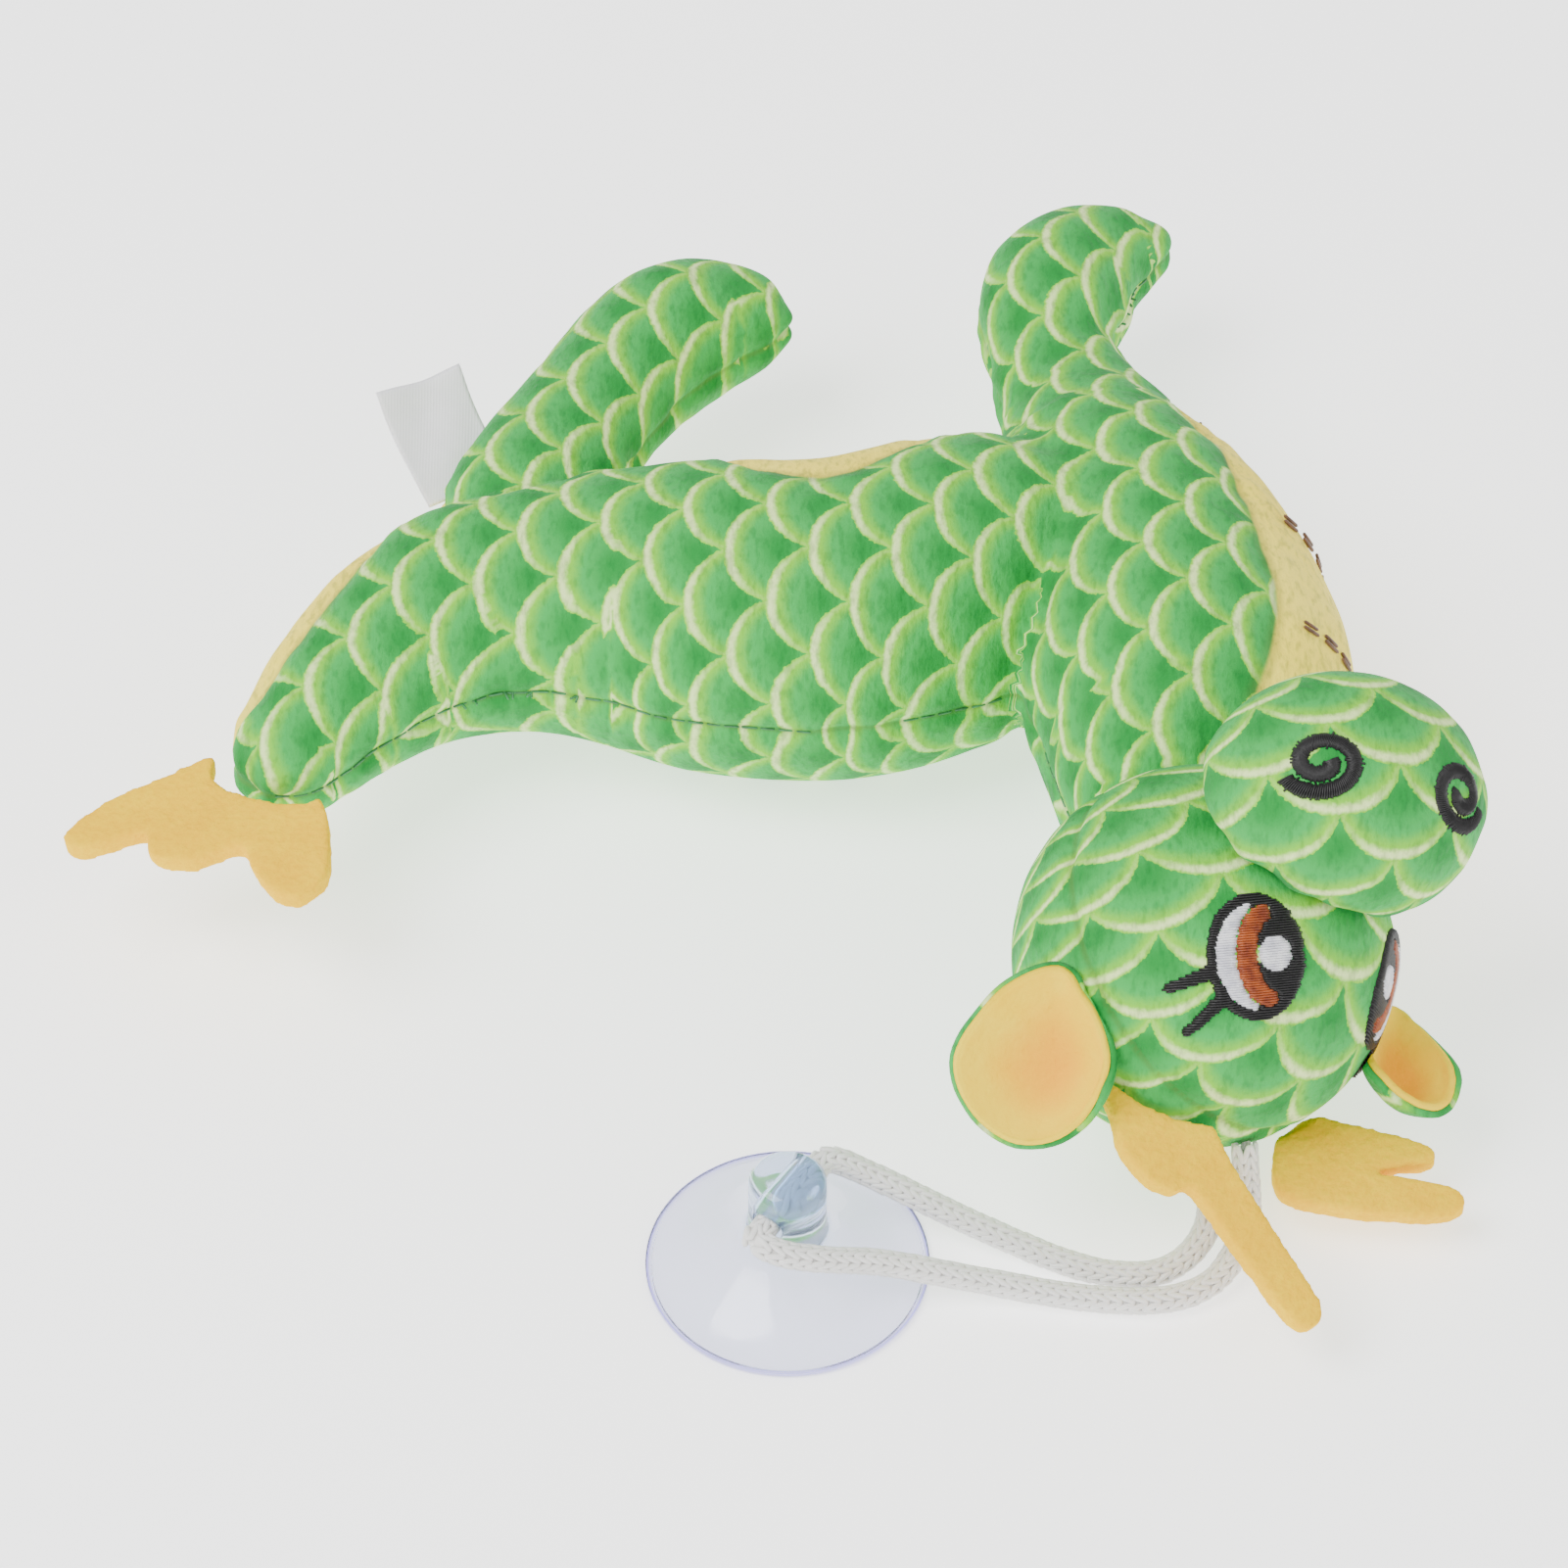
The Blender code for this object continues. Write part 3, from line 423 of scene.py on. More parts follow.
def velboa_scales():
    s = Shader("velboa_scales", 0.85, Sheen_Weight=0.06, Specular_IOR_Level=0.15)
    where = s.attribute("print", out=1)
    wobble = s.node("ShaderNodeVectorMath", s.noise(where, 160), (0.5, 0.5, 0.5), operation="SUBTRACT")
    wobble = s.node("ShaderNodeVectorMath", wobble, (0.0009, 0.0009, 0), operation="MULTIPLY")
    where = s.node("ShaderNodeVectorMath", where, wobble, operation="ADD")
    fuzz = s.tree.nodes.new("ShaderNodeTexNoise")
    s.put(fuzz.inputs["Vector"], s.place())
    fuzz.inputs["Scale"].default_value = 1500
    fuzz = s.node("ShaderNodeVectorMath", fuzz.outputs[1], (0.5, 0.5, 0.5), operation="SUBTRACT")
    fuzz = s.node("ShaderNodeVectorMath", fuzz, (0.0007, 0.0007, 0), operation="MULTIPLY")
    where = s.node("ShaderNodeVectorMath", where, fuzz, operation="ADD")
    split = s.tree.nodes.new("ShaderNodeSeparateXYZ")
    s.put(split.inputs[0], where)
    x, y = split.outputs[0], split.outputs[1]
    column = s.math("FLOOR", s.math("DIVIDE", x, PITCH))

    def across(number):
        """Distance along the column from the middle of its nearest arc."""
        half = s.math("MULTIPLY", s.math("FLOORED_MODULO", number, 2.0), SPACING / 2)
        t = s.math("FLOORED_MODULO", s.math("ADD", s.math("SUBTRACT", y, half), SPACING / 2), SPACING)
        return s.math("SUBTRACT", t, SPACING / 2)

    def inside(number, t):
        """Depth inside the arc of a column, from its edge."""
        ahead = s.math("SUBTRACT", s.math("SUBTRACT", x, s.math("MULTIPLY", number, PITCH)), ARC)
        away = s.math("SQRT", s.math("ADD", s.math("MULTIPLY", ahead, ahead), s.math("MULTIPLY", t, t)))
        return s.math("SUBTRACT", ARC, away)

    here = across(column)
    depth_here = inside(column, here)
    before = s.math("SUBTRACT", column, 1.0)
    there = across(before)
    depth_there = inside(before, there)
    covered = s.math("GREATER_THAN", depth_here, 0.0)
    keep = s.math("SUBTRACT", 1.0, covered)
    depth = s.math("ADD", s.math("MULTIPLY", depth_here, covered), s.math("MULTIPLY", depth_there, keep))
    t = s.math("ADD", s.math("MULTIPLY", here, covered), s.math("MULTIPLY", there, keep))
    off_middle = s.math("POWER", s.math("DIVIDE", t, ARC), 2.0)
    taper = s.math("SUBTRACT", 1.0, s.math("MULTIPLY", off_middle, 0.78))
    depth = s.math("DIVIDE", depth, taper)
    lime = s.step(depth, 4.0 * MM, 1.4 * MM)
    white = s.math("MULTIPLY", s.step(depth, 1.9 * MM, 0.9 * MM), s.step(depth, 0.0, 0.7 * MM))
    tip = s.step(s.math("ABSOLUTE", t), 7.6 * MM, 3.0 * MM)
    white = s.math("MULTIPLY", white, s.math("ADD", s.math("MULTIPLY", tip, 0.85), 0.15))
    dark = s.step(depth, 3.5 * MM, 8.0 * MM)
    green = s.mix(s.math("MULTIPLY", dark, 0.85), GREEN, DARK)
    coat = s.mix(white, s.mix(s.math("MULTIPLY", lime, 0.9), green, LIME), WHITE)
    yellow = s.mix(s.noise(s.place(), 60), YELLOW, (1.0, 0.86, 0.16, 1))
    colour = s.mix(s.step(s.attribute("gusset"), -0.2 * MM, 0.2 * MM), coat, yellow)
    brushed = s.node("ShaderNodeMapping", s.place(), None, None, (1.0, 0.45, 0.45))
    nap = s.noise(brushed, 1100, 4)
    colour = s.mix(s.math("MULTIPLY", s.step(nap, 0.45, 0.7), 0.34), colour, (0.004, 0.12, 0.02, 1))
    shade = s.math("MULTIPLY", s.step(s.attribute("seam"), 0.9 * MM, 0.1 * MM), 0.4)
    colour = s.mix(shade, colour, (0.10, 0.16, 0.03, 1))
    s.colour(colour)
    s.bump(s.math("ADD", nap, s.noise(s.place(), 320, 3)), 0.7, 0.6 * MM)
    return s.material


coat = velboa_scales()
for piece, body_name in ((body, "torso"), (head, "head"), (muzzle, "head")):
    piece.data.materials.clear()
    piece.data.materials.append(coat)
    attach(piece, body_name)
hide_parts("body_stuffing", "body_panel_left", "body_panel_right", "belly_gusset",
            "chest_gusset", "tail_gusset")
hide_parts("head_stuffing", "head_face_panel", "head_back_panel")
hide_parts("muzzle_stuffing", "muzzle_cover")
print("coat nodes", len(coat.node_tree.nodes))

# %% [markdown]
# Sewing repeats one small piece along a line: a stitch along a seam, or a ring of loops along
# a knitted cord.  One Geometry Nodes tree does all of these.  It spaces copies of a piece
# along a path, turns each to the path, varies their size a little, and makes them real.
# %% A row of pieces along a path
def row_tree():
    tree = bpy.data.node_groups.new("row_along_path", "GeometryNodeTree")
    kinds = (("Path", "Object"), ("Piece", "Object"), ("Spacing", "Float"), ("Smallest", "Float"),
             ("Largest", "Float"), ("Seed", "Int"), ("Thread", "Material"))
    for name, kind in kinds:
        tree.interface.new_socket(name, in_out="INPUT", socket_type="NodeSocket" + kind)
    tree.interface.new_socket("Geometry", in_out="OUTPUT", socket_type="NodeSocketGeometry")
    new, link = tree.nodes.new, tree.links.new
    given = new("NodeGroupInput").outputs
    path, piece = new("GeometryNodeObjectInfo"), new("GeometryNodeObjectInfo")
    link(given["Path"], path.inputs["Object"])
    link(given["Piece"], piece.inputs["Object"])
    spots = new("GeometryNodeCurveToPoints")
    spots.mode = "LENGTH"
    link(path.outputs["Geometry"], spots.inputs["Curve"])
    link(given["Spacing"], spots.inputs["Length"])
    size = new("FunctionNodeRandomValue")
    numbers = [s for s in size.inputs if s.type == "VALUE"]
    link(given["Smallest"], numbers[0])
    link(given["Largest"], numbers[1])
    link(given["Seed"], size.inputs["Seed"])
    copies = new("GeometryNodeInstanceOnPoints")
    link(spots.outputs["Points"], copies.inputs["Points"])
    link(spots.outputs["Rotation"], copies.inputs["Rotation"])
    link(piece.outputs["Geometry"], copies.inputs["Instance"])
    link([s for s in size.outputs if s.type == "VALUE"][0], copies.inputs["Scale"])
    real, dyed = new("GeometryNodeRealizeInstances"), new("GeometryNodeSetMaterial")
    link(copies.outputs[0], real.inputs[0])
    link(real.outputs[0], dyed.inputs["Geometry"])
    link(given["Thread"], dyed.inputs["Material"])
    link(dyed.outputs[0], new("NodeGroupOutput").inputs[0])
    return tree


ROW = row_tree()


def path_object(name, lines):
    curve = bpy.data.curves.new(name, "CURVE")
    curve.dimensions = "3D"
    for line in lines:
        spline = curve.splines.new("POLY")
        spline.points.add(len(line) - 1)
        for point, spot in zip(spline.points, line):
            point.co = (*spot, 1)
    obj = bpy.data.objects.new(name, curve)
    scene.collection.objects.link(obj)
    return obj


def row_along(name, lines, piece, spacing, material, spread=(0.9, 1.1), seed=1):
    path = path_object(name + "_path", lines)
    obj = add_mesh(name, bpy.data.meshes.new(name))
    step = obj.modifiers.new("row", "NODES")
    step.node_group = ROW
    values = {"Path": path, "Piece": piece, "Spacing": spacing, "Smallest": spread[0],
              "Largest": spread[1], "Seed": seed, "Thread": material}
    for socket in ROW.interface.items_tree:
        if socket.in_out == "INPUT":
            step[socket.identifier] = values[socket.name]
    bake(obj)
    for used in (path, piece):
        bpy.data.objects.remove(used, do_unlink=True)
    for face in obj.data.polygons:
        face.use_smooth = True
    print(name, len(obj.data.polygons), "faces")
    return obj


def capsule(bm, a, b, radius, sides=6):
    """Strand with round ends from a to b."""
    a, b = Vector(a), Vector(b)
    turn = (b - a).to_track_quat("Z", "Y").to_matrix()
    length = (b - a).length
    rings = []
    for z, r in ((-0.8, 0.5), (0.0, 1.0), (0.5, 1.1), (1.0, 1.0), (1.8, 0.5)):
        z = z * radius if z < 0 else (length + (z - 1) * radius if z > 1 else z * length)
        rings.append([bm.verts.new(a + turn @ Vector((math.cos(t) * r * radius, math.sin(t) * r * radius, z)))
                      for t in (math.tau * k / sides for k in range(sides))])
    for low, high in zip(rings, rings[1:]):
        for k in range(sides):
            bm.faces.new((low[k], low[(k + 1) % sides], high[(k + 1) % sides], high[k]))
    bm.faces.new(rings[0][::-1])
    bm.faces.new(rings[-1])


# %% [markdown]
# Thread has a soft lustre, because its fibres lie side by side.  A fine wave in the bump
# stands for the plies.
# %% Thread
def thread_cloth(name, colour, deep, roughness=0.45):
    s = Shader(name, roughness, Sheen_Weight=0.05)
    s.colour(s.mix(s.step(s.noise(s.place(), 700, 3), 0.3, 0.7), deep, colour))
    s.bump(s.noise(s.place(), 2500, 2), 0.5, 0.15 * MM)
    return s.material


black = thread_cloth("thread_black", (0.008, 0.007, 0.008, 1), (0.002, 0.002, 0.002, 1), 0.5)
white = thread_cloth("thread_white", (0.86, 0.86, 0.88, 1), (0.62, 0.62, 0.68, 1))
brown = thread_cloth("thread_rust", (0.40, 0.085, 0.012, 1), (0.20, 0.03, 0.006, 1))
sepia = thread_cloth("thread_sepia", (0.16, 0.07, 0.03, 1), (0.08, 0.035, 0.015, 1))
green_thread = thread_cloth("thread_green", (0.03, 0.22, 0.07, 1), (0.015, 0.12, 0.03, 1))
print("threads ready")


# %% [markdown]
# Embroidery is satin stitch: threads laid side by side across a shape, each a little longer
# or shorter than the next.  Every thread follows the stuffed cloth below it, which a ray finds.
# %% Satin stitch helper
def surface(obj):
    return BVHTree.FromObject(obj, bpy.context.evaluated_depsgraph_get())


head_tree, muzzle_tree, body_tree = surface(head), surface(muzzle), surface(body)


def lay_thread(bm, spots, normals, width, height):
    """Thread over a line of points, flat below and round above, with its ends tucked down."""
    rings = []
    for i, (spot, normal) in enumerate(zip(spots, normals)):
        ahead = spots[min(i + 1, len(spots) - 1)] - spots[max(i - 1, 0)]
        side = normal.cross(ahead).normalized() * width / 2
        rise = height * (0.25 if i in (0, len(spots) - 1) else 1.0)
        low = spot - normal * 0.25 * MM
        shoulder = normal * rise * 0.6
        section = (low - side, low + side, spot + side * 0.8 + shoulder, spot + normal * rise,
                   spot - side * 0.8 + shoulder)
        rings.append([bm.verts.new(p) for p in section])
    for a, b in zip(rings, rings[1:]):
        for k in range(5):
            bm.faces.new((a[k], a[(k + 1) % 5], b[(k + 1) % 5], b[k]))
    bm.faces.new(rings[0][::-1])
    bm.faces.new(rings[-1])


def finish_piece(obj, material, body_name, slot, *nodes):
    obj.data.materials.clear()
    obj.data.materials.append(material)
    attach(obj, body_name)
    if nodes:
        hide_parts(*nodes)
    return obj


# %% [markdown]
# Each eye is one patch of satin stitch in four parts: a black outline with the pupil and two
# lashes, a white crescent, a rust-brown crescent, and a white glint.  The shape is a rule that
# says which thread is at a spot, and rows of thread are cut wherever that answer changes.
# %% Eyes
def near_segment(u, v, a, b):
    along = Vector(b) - Vector(a)
    t = min(max((Vector((u, v)) - Vector(a)).dot(along) / along.length_squared, 0), 1)
    return (Vector((u, v)) - Vector(a) - along * t).length, t


def eye_thread(u, v):
    """Thread at a spot of the eye, in millimetres, with u towards the outer corner."""
    inside = lambda cu, ru, rv: ((u - cu) / ru) ** 2 + (v / rv) ** 2 < 1
    if inside(0, 7.0, 8.75):
        if (u + 2.6) ** 2 + (v + 0.2) ** 2 < 2.4 ** 2:
            return "glint"
        if inside(-0.1, 5.9, 7.3) and not inside(-1.2, 4.3, 7.0) and u > 0.2:
            return "white"
        if inside(-1.4, 4.3, 6.9) and not inside(-2.5, 2.6, 4.9) and u > -2.6:
            return "iris"
        return "black"
    for a, b in (((6.2, 1.4), (12.0, 3.2)), ((5.2, 5.4), (9.8, 9.4))):
        gap, t = near_segment(u, v, a, b)
        if gap < 1.05 - 0.35 * t:
            return "black"
    return None


def eye(side, name):
    out = Vector((0.75, 0.53 * side, 0.44)).normalized()
    across = Vector((0, 0, 1)).cross(out).normalized() * side
    turn = head_axes.to_3x3() @ Matrix((out, across, out.cross(across) * side)).transposed()
    centre = HEAD_CENTRE + turn @ Vector((HEAD_R, 0, 0))
    meshes = {key: bmesh.new() for key in ("black", "white", "iris", "glint")}
    pitch, step = 0.34, 0.2
    for row in range(int(-9.6 / pitch), int(11 / pitch)):
        v = row * pitch
        runs, last = [], "none yet"
        for i in range(int(-7.4 / step), int(13.4 / step)):
            u = i * step
            here = eye_thread(u, v)
            if here != last:
                runs.append([here, u, u])
                last = here
            runs[-1][2] = u
        for key, start, stop in runs:
            if key is None or stop - start < 0.3:
                continue
            ragged = 0.4 * noise.noise(Vector((start, v * 7, side)))
            start, stop = start - 0.12 + ragged, stop + 0.2 + 0.4 * noise.noise(Vector((stop, v * 5, 3)))
            count = max(3, int((stop - start) / 0.8) + 2)
            spots, normals = [], []
            for i in range(count):
                u = start + (stop - start) * i / (count - 1)
                source = centre + turn @ (Vector((12, u, v)) * MM)
                hit, normal, _, _ = head_tree.ray_cast(source, -(turn @ Vector((1, 0, 0))))
                if hit is not None and (muzzle_tree.ray_cast(source, -(turn @ Vector((1, 0, 0))))[0] is None):
                    spots.append(hit)
                    normals.append(normal)
            if len(spots) > 2:
                lay_thread(meshes[key], spots, normals, 0.38 * MM, 0.6 * MM)
    for key, material in (("black", black), ("white", white), ("iris", brown), ("glint", white)):
        piece = from_bmesh(f"eye_{name}_{key}_thread", meshes[key])
        slot = {"black": "thread_black", "iris": "thread_brown"}.get(key, "thread_white")
        finish_piece(piece, material, "head", slot, f"eye_{name}_{key}")
    print("eye", name)


eye(1, "left")
eye(-1, "right")


# %% [markdown]
# The nostrils are spirals of satin stitch.  The short threads cross the spiral's line, and the
# line itself is a rule: its radius shrinks as it turns.
# %% Nostrils
def nostril(side, name):
    radii = np.array((18, 22, 18.5)) * MM
    bm = bmesh.new()
    count = 150
    line = []
    for i in range(count + 1):
        share = i / count
        angle = math.tau * 1.45 * share + math.radians(200)
        radius = 4.9 * MM * (1 - 0.8 * share ** 1.3)
        y = side * (11 * MM - radius * math.cos(angle) * 1.05)
        z = (1 - 2.2 * side) * MM - radius * math.sin(angle) * 0.95
        x = radii[0] * math.sqrt(max(0.02, 1 - (y / radii[1]) ** 2 - (z / radii[2]) ** 2))
        normal = Vector((x / radii[0] ** 2, y / radii[1] ** 2, z / radii[2] ** 2)).normalized()
        spot, normal = muzzle_axes @ Vector((x, y, z)), muzzle_axes.to_3x3() @ normal
        line.append((spot, normal))
    for i in range(1, count):
        ahead = (line[i + 1][0] - line[i - 1][0]).normalized()
        spot, normal = line[i]
        side_way = (normal.cross(ahead) + ahead * 0.25).normalized()
        half = (1.15 + 0.5 * noise.noise(Vector((i * 0.9, side * 5, 0)))) * MM
        spots, normals = [], []
        for k in (-1, -0.4, 0.4, 1):
            source = spot + side_way * half * k + normal * 6 * MM
            hit, out, _, _ = muzzle_tree.ray_cast(source, -normal)
            if hit is not None:
                spots.append(hit)
                normals.append(out)
        if len(spots) > 2:
            lay_thread(bm, spots, normals, 0.36 * MM, 0.6 * MM)
    finish_piece(from_bmesh(f"nostril_{name}_thread", bm), black, "head", "thread_black", f"nostril_{name}")
    print("nostril", name)


nostril(1, "left")
nostril(-1, "right")


# %% [markdown]
# Seams show as a row of short stitches sunk in the fold.  Rays from outside each tube find
# where the middle plane meets the cover, and the thread runs through those points.
# %% Seam stitches
def seam_lines():
    lines = []
    for tube in TUBES.values():
        rows = [shift(x, y, MID_Z_MM) for x, y, _ in tube]
        dense = [a.lerp(b, k / 6) for a, b in zip(rows, rows[1:]) for k in range(6)]
        for side in (-1, 1):
            line = []
            for a, b in zip(dense, dense[1:]):
                out = Vector(((b - a).y, -(b - a).x, 0)).normalized() * side
                hit, normal, _, _ = body_tree.ray_cast(a + out * 60 * MM, -out)
                good = hit is not None and (hit - a).length < 33 * MM
                if good:
                    yellow = gusset_depth(np.array([hit]))[0]
                    folded = tube_facts(np.array([hit]))[0][0]
                    good = yellow < -1 * MM and folded > 2 * MM
                if good and (not line or (hit - line[-1]).length < 9 * MM):
                    line.append(hit + normal * 0.1 * MM)
                elif len(line) > 3:
                    lines.append(line)
                    line = []
                else:
                    line = []
            if len(line) > 3:
                lines.append(line)
    return lines


def stitch(length, radius):
    bm = bmesh.new()
    capsule(bm, (0, 0, -length / 2), (0, 0, length / 2), radius)
    return from_bmesh("stitch", bm)


seams = row_along("seam_stitches", seam_lines(), stitch(1.9 * MM, 0.2 * MM), 2.6 * MM, green_thread)
finish_piece(seams, green_thread, "torso", "velboa_green_scales")


def chest_rows():
    rows = []
    for y, share in ((8, 0.85), (32, 0.7), (62, 0.3)):
        tube = TUBES["chest"]
        near = min(tube, key=lambda row: abs(row[1] - y))
        centre = shift(near[0], y, MID_Z_MM)
        line = []
        for i in range(25):
            a = math.radians(56) * share * (2 * i / 24 - 1)
            out = Vector((math.cos(a), 0, math.sin(a)))
            hit, normal, _, _ = body_tree.ray_cast(centre + out * 60 * MM, -out)
            if hit is not None:
                line.append(hit + normal * 0.35 * MM)
        rows += [line, [p + Vector((0, 1.1 * MM, 0)) for p in line]]
    return rows


chest = row_along("chest_stitches", chest_rows(), stitch(2.6 * MM, 0.26 * MM), 4.4 * MM, sepia, seed=4)
finish_piece(chest, sepia, "torso", "thread_brown", "chest_stitch_1", "chest_stitch_2", "chest_stitch_3")


# %% [markdown]
# Horns and tail fin are die-cut felt.  Felt has no weave: it is a mat of fibres, so its
# surface is uneven and its cut edges are soft.  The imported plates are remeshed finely, rounded,
# and roughened a little.
# %% Felt
def felt_finish():
    s = Shader("felt_yellow", 0.95, Specular_IOR_Level=0.1)
    fibres = s.noise(s.place(), 1100, 5)
    patches = s.noise(s.place(), 130, 3)
    colour = s.mix(s.step(patches, 0.3, 0.7), (0.95, 0.55, 0.0, 1), (1.0, 0.62, 0.0, 1))
    colour = s.mix(s.math("MULTIPLY", s.step(fibres, 0.62, 0.35), 0.28), colour, (0.85, 0.40, 0.0, 1))
    s.colour(colour)
    s.bump(s.math("ADD", fibres, s.noise(s.place(), 380, 3)), 0.6, 0.6 * MM)
    return s.material


felt = felt_finish()


def felt_piece(node, body_name):
    obj = add_mesh(node + "_felt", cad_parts[node].data.copy())
    bm = bmesh.new()
    bm.from_mesh(obj.data)
    bmesh.ops.remove_doubles(bm, verts=bm.verts, dist=0.02 * MM)
    bm.to_mesh(obj.data)
    bm.free()
    net = obj.modifiers.new("net", "REMESH")
    net.mode = "VOXEL"
    net.voxel_size = 0.45 * MM
    soft = obj.modifiers.new("soft", "SMOOTH")
    soft.iterations = 4
    bake(obj)
    points, normals = points_of(obj.data), normals_of(obj.data)
    fine = np.array([noise.noise(Vector(p) * 900) for p in points])
    coarse = np.array([noise.noise(Vector(p) * 160) for p in points])
    lift = (fine * 0.12 + coarse * 0.25 + 0.1) * MM
    set_points(obj.data, points + normals * lift[:, None])
    for face in obj.data.polygons:
        face.use_smooth = True
    finish_piece(obj, felt, body_name, "felt_yellow", node)
    print(obj.name, len(obj.data.polygons), "faces")


for node in ("horn_left", "horn_right", "tail_fin"):
    felt_piece(node, node)


# %% [markdown]
# An ear is two cloths sewn back to back and cupped: green scales outside and yellow inside.
# A rounded outline gives the rim, the cloth sinks from it to a deep point, and the front edge
# lips over a little.  Each cloth is a closed shell, cut away where it would enter the head.
# %% Ears
EAR_RIM = [(2.7, 12.2), (-3.5, 10.0), (-8.0, 5.6), (-11.2, -0.5), (-9.0, -7.0), (-3.2, -11.2),
           (3.8, -10.4), (8.6, -6.0), (10.2, -0.6), (8.2, 4.6), (5.6, 8.6)]
EAR_DEEP = (3.0, -2.0)


def rim_at(share):
    """Point of the closed smooth rim, for a share of the way round."""
    count = len(EAR_RIM)
    place = share * count
    i, t = int(place) % count, place % 1
    a, b, c, d = (Vector(EAR_RIM[(i + k) % count]) for k in (-1, 0, 1, 2))
    return between(a, b, c, d, t)


def ear_grid(axes, size, depth, around=72, up=22):
    """Points of the lining's face, from the deep point to the rim and over its rolled edge."""
    grid = []
    for j in range(1, up + 1):
        s = j / up
        ring = []
        for i in range(around):
            rim = rim_at(i / around)
            out = rim - Vector(EAR_DEEP)
            roll = max(0.0, out.normalized().dot(Vector((0.9, -0.35)))) ** 1.5
            turned_in = 0.26 * roll * max(0, s - 0.75) / 0.25
            reach = s * (1 + 0.10 * roll * math.sin(math.pi * s)) - turned_in
            height = -depth * (1 - s ** 1.8) + 2.4 * roll * math.sin(math.pi * s * 0.95) * s
            height += 0.35 * noise.noise(Vector((rim.x * 0.3, rim.y * 0.3, s * 2))) * s
            spot = Vector(EAR_DEEP) + out * reach
            ring.append(axes @ (Vector((height, spot.x, spot.y)) * size * MM))
        grid.append(ring)
    return np.array(grid), np.array(axes @ (Vector((-depth, *EAR_DEEP)) * size * MM))


def cloth_shell(name, grid, pole, near, far):
    """Closed shell between two distances behind a grid of rings about a pole."""
    around = grid.shape[1]
    across = np.roll(grid, -1, 1) - np.roll(grid, 1, 1)
    inner = np.concatenate([np.repeat(pole[None, None], around, 1), grid[:-1]])
    outer = np.concatenate([grid[1:], grid[-1:]])
    facing = np.cross(across, outer - inner)
    facing /= np.maximum(np.linalg.norm(facing, axis=2, keepdims=True), 1e-12)
    middle = facing[0].mean(0) / np.linalg.norm(facing[0].mean(0))
    bm = bmesh.new()
    walls = []
    for distance in (near, far):
        rings = [[bm.verts.new(p) for p in row] for row in grid + facing * distance]
        tip = bm.verts.new(pole + middle * distance)
        walls.append(rings)
        for i in range(around):
            bm.faces.new((tip, rings[0][i], rings[0][(i + 1) % around]))
        for low, high in zip(rings, rings[1:]):
            for i in range(around):
                k = (i + 1) % around
                bm.faces.new((low[i], low[k], high[k], high[i]))
    for i in range(around):
        k = (i + 1) % around
        bm.faces.new((walls[0][-1][i], walls[0][-1][k], walls[1][-1][k], walls[1][-1][i]))
    return from_bmesh(name, bm)


skull_bm = bmesh.new()
bmesh.ops.create_uvsphere(skull_bm, u_segments=64, v_segments=40, radius=HEAD_R - 0.3 * MM)
bmesh.ops.translate(skull_bm, vec=HEAD_CENTRE, verts=skull_bm.verts)
skull = from_bmesh("skull", skull_bm)


def lining_finish():
    s = Shader("velboa_yellow", 0.9, Specular_IOR_Level=0.1)
    nap = s.noise(s.place(), 800, 4)
    patches = s.step(s.noise(s.place(), 120), 0.35, 0.65)
    warm = s.mix(patches, (1.0, 0.66, 0.0, 1), (1.0, 0.72, 0.02, 1))
    # Painted shade: the lining turns a deeper orange towards the ear's deep point, where the hollow of the
    # cup lies in shade.
    deep = s.step(s.attribute("deep"), 1.6 * MM, 5.2 * MM)
    warm = s.mix(s.math("MULTIPLY", deep, 0.75), warm, (0.95, 0.36, 0.0, 1))
    s.colour(s.mix(s.math("MULTIPLY", nap, 0.2), warm, (0.95, 0.50, 0.0, 1)))
    s.bump(nap, 0.6, 0.5 * MM)
    return s.material


lining = lining_finish()


def ear(name, centre, opening, upright, size, depth):
    axes = frame_of(centre, opening, upright)
    grid, pole = ear_grid(axes, size, depth)
    facing = np.array((axes.to_3x3() @ Vector((1, 0, 0))))
    for part, near, far, material, slot in (("outer", 1.1, 2.0, coat, "velboa_green_scales"),
                                            ("lining", 0.0, 1.0, lining, "velboa_yellow")):
        turn = 1 if np.cross(grid[0, 1] - grid[0, 0], grid[1, 0] - grid[0, 0]) @ facing < 0 else -1
        obj = cloth_shell(f"ear_{name}_{part}_cloth", grid, pole, near * MM * turn, far * MM * turn)
        whole = len(obj.data.polygons)
        cut = obj.modifiers.new("cut", "BOOLEAN")
        cut.operation, cut.object, cut.solver = "DIFFERENCE", skull, "MANIFOLD"
        bake(obj)
        print(obj.name, whole, "faces,", len(obj.data.polygons), "left outside the head")
        spots = points_of(obj.data)
        local = (np.array(axes.inverted()) @ np.column_stack([spots, np.ones(len(spots))]).T).T[:, :3]
        store(obj.data, "print", local[:, [1, 2, 0]] * np.array([0.7, 0.7, 0]), "FLOAT_VECTOR")
        store(obj.data, "gusset", np.full(len(spots), -1.0))
        store(obj.data, "seam", np.full(len(spots), 0.01))
        # The depth below the rim drives the painted shade in the lining's hollow.
        store(obj.data, "deep", -local[:, 0])
        for face in obj.data.polygons:
            face.use_smooth = True
        finish_piece(obj, material, f"ear_{name}", slot, f"ear_{name}_{part}")
    print("ear", name)


ear("left", shift(35.0, -66.0, 35.6), Vector((0, -0.682, 0.731)), Vector((0, 0.731, 0.682)), 1.0, 5.0)
ear("right", shift(88.6, -51.5, 19), Vector((0.55, 0.05, 0.83)), Vector((-0.35, 0.9, 0.2)), 0.72, 8.0)
bpy.data.objects.remove(skull, do_unlink=True)


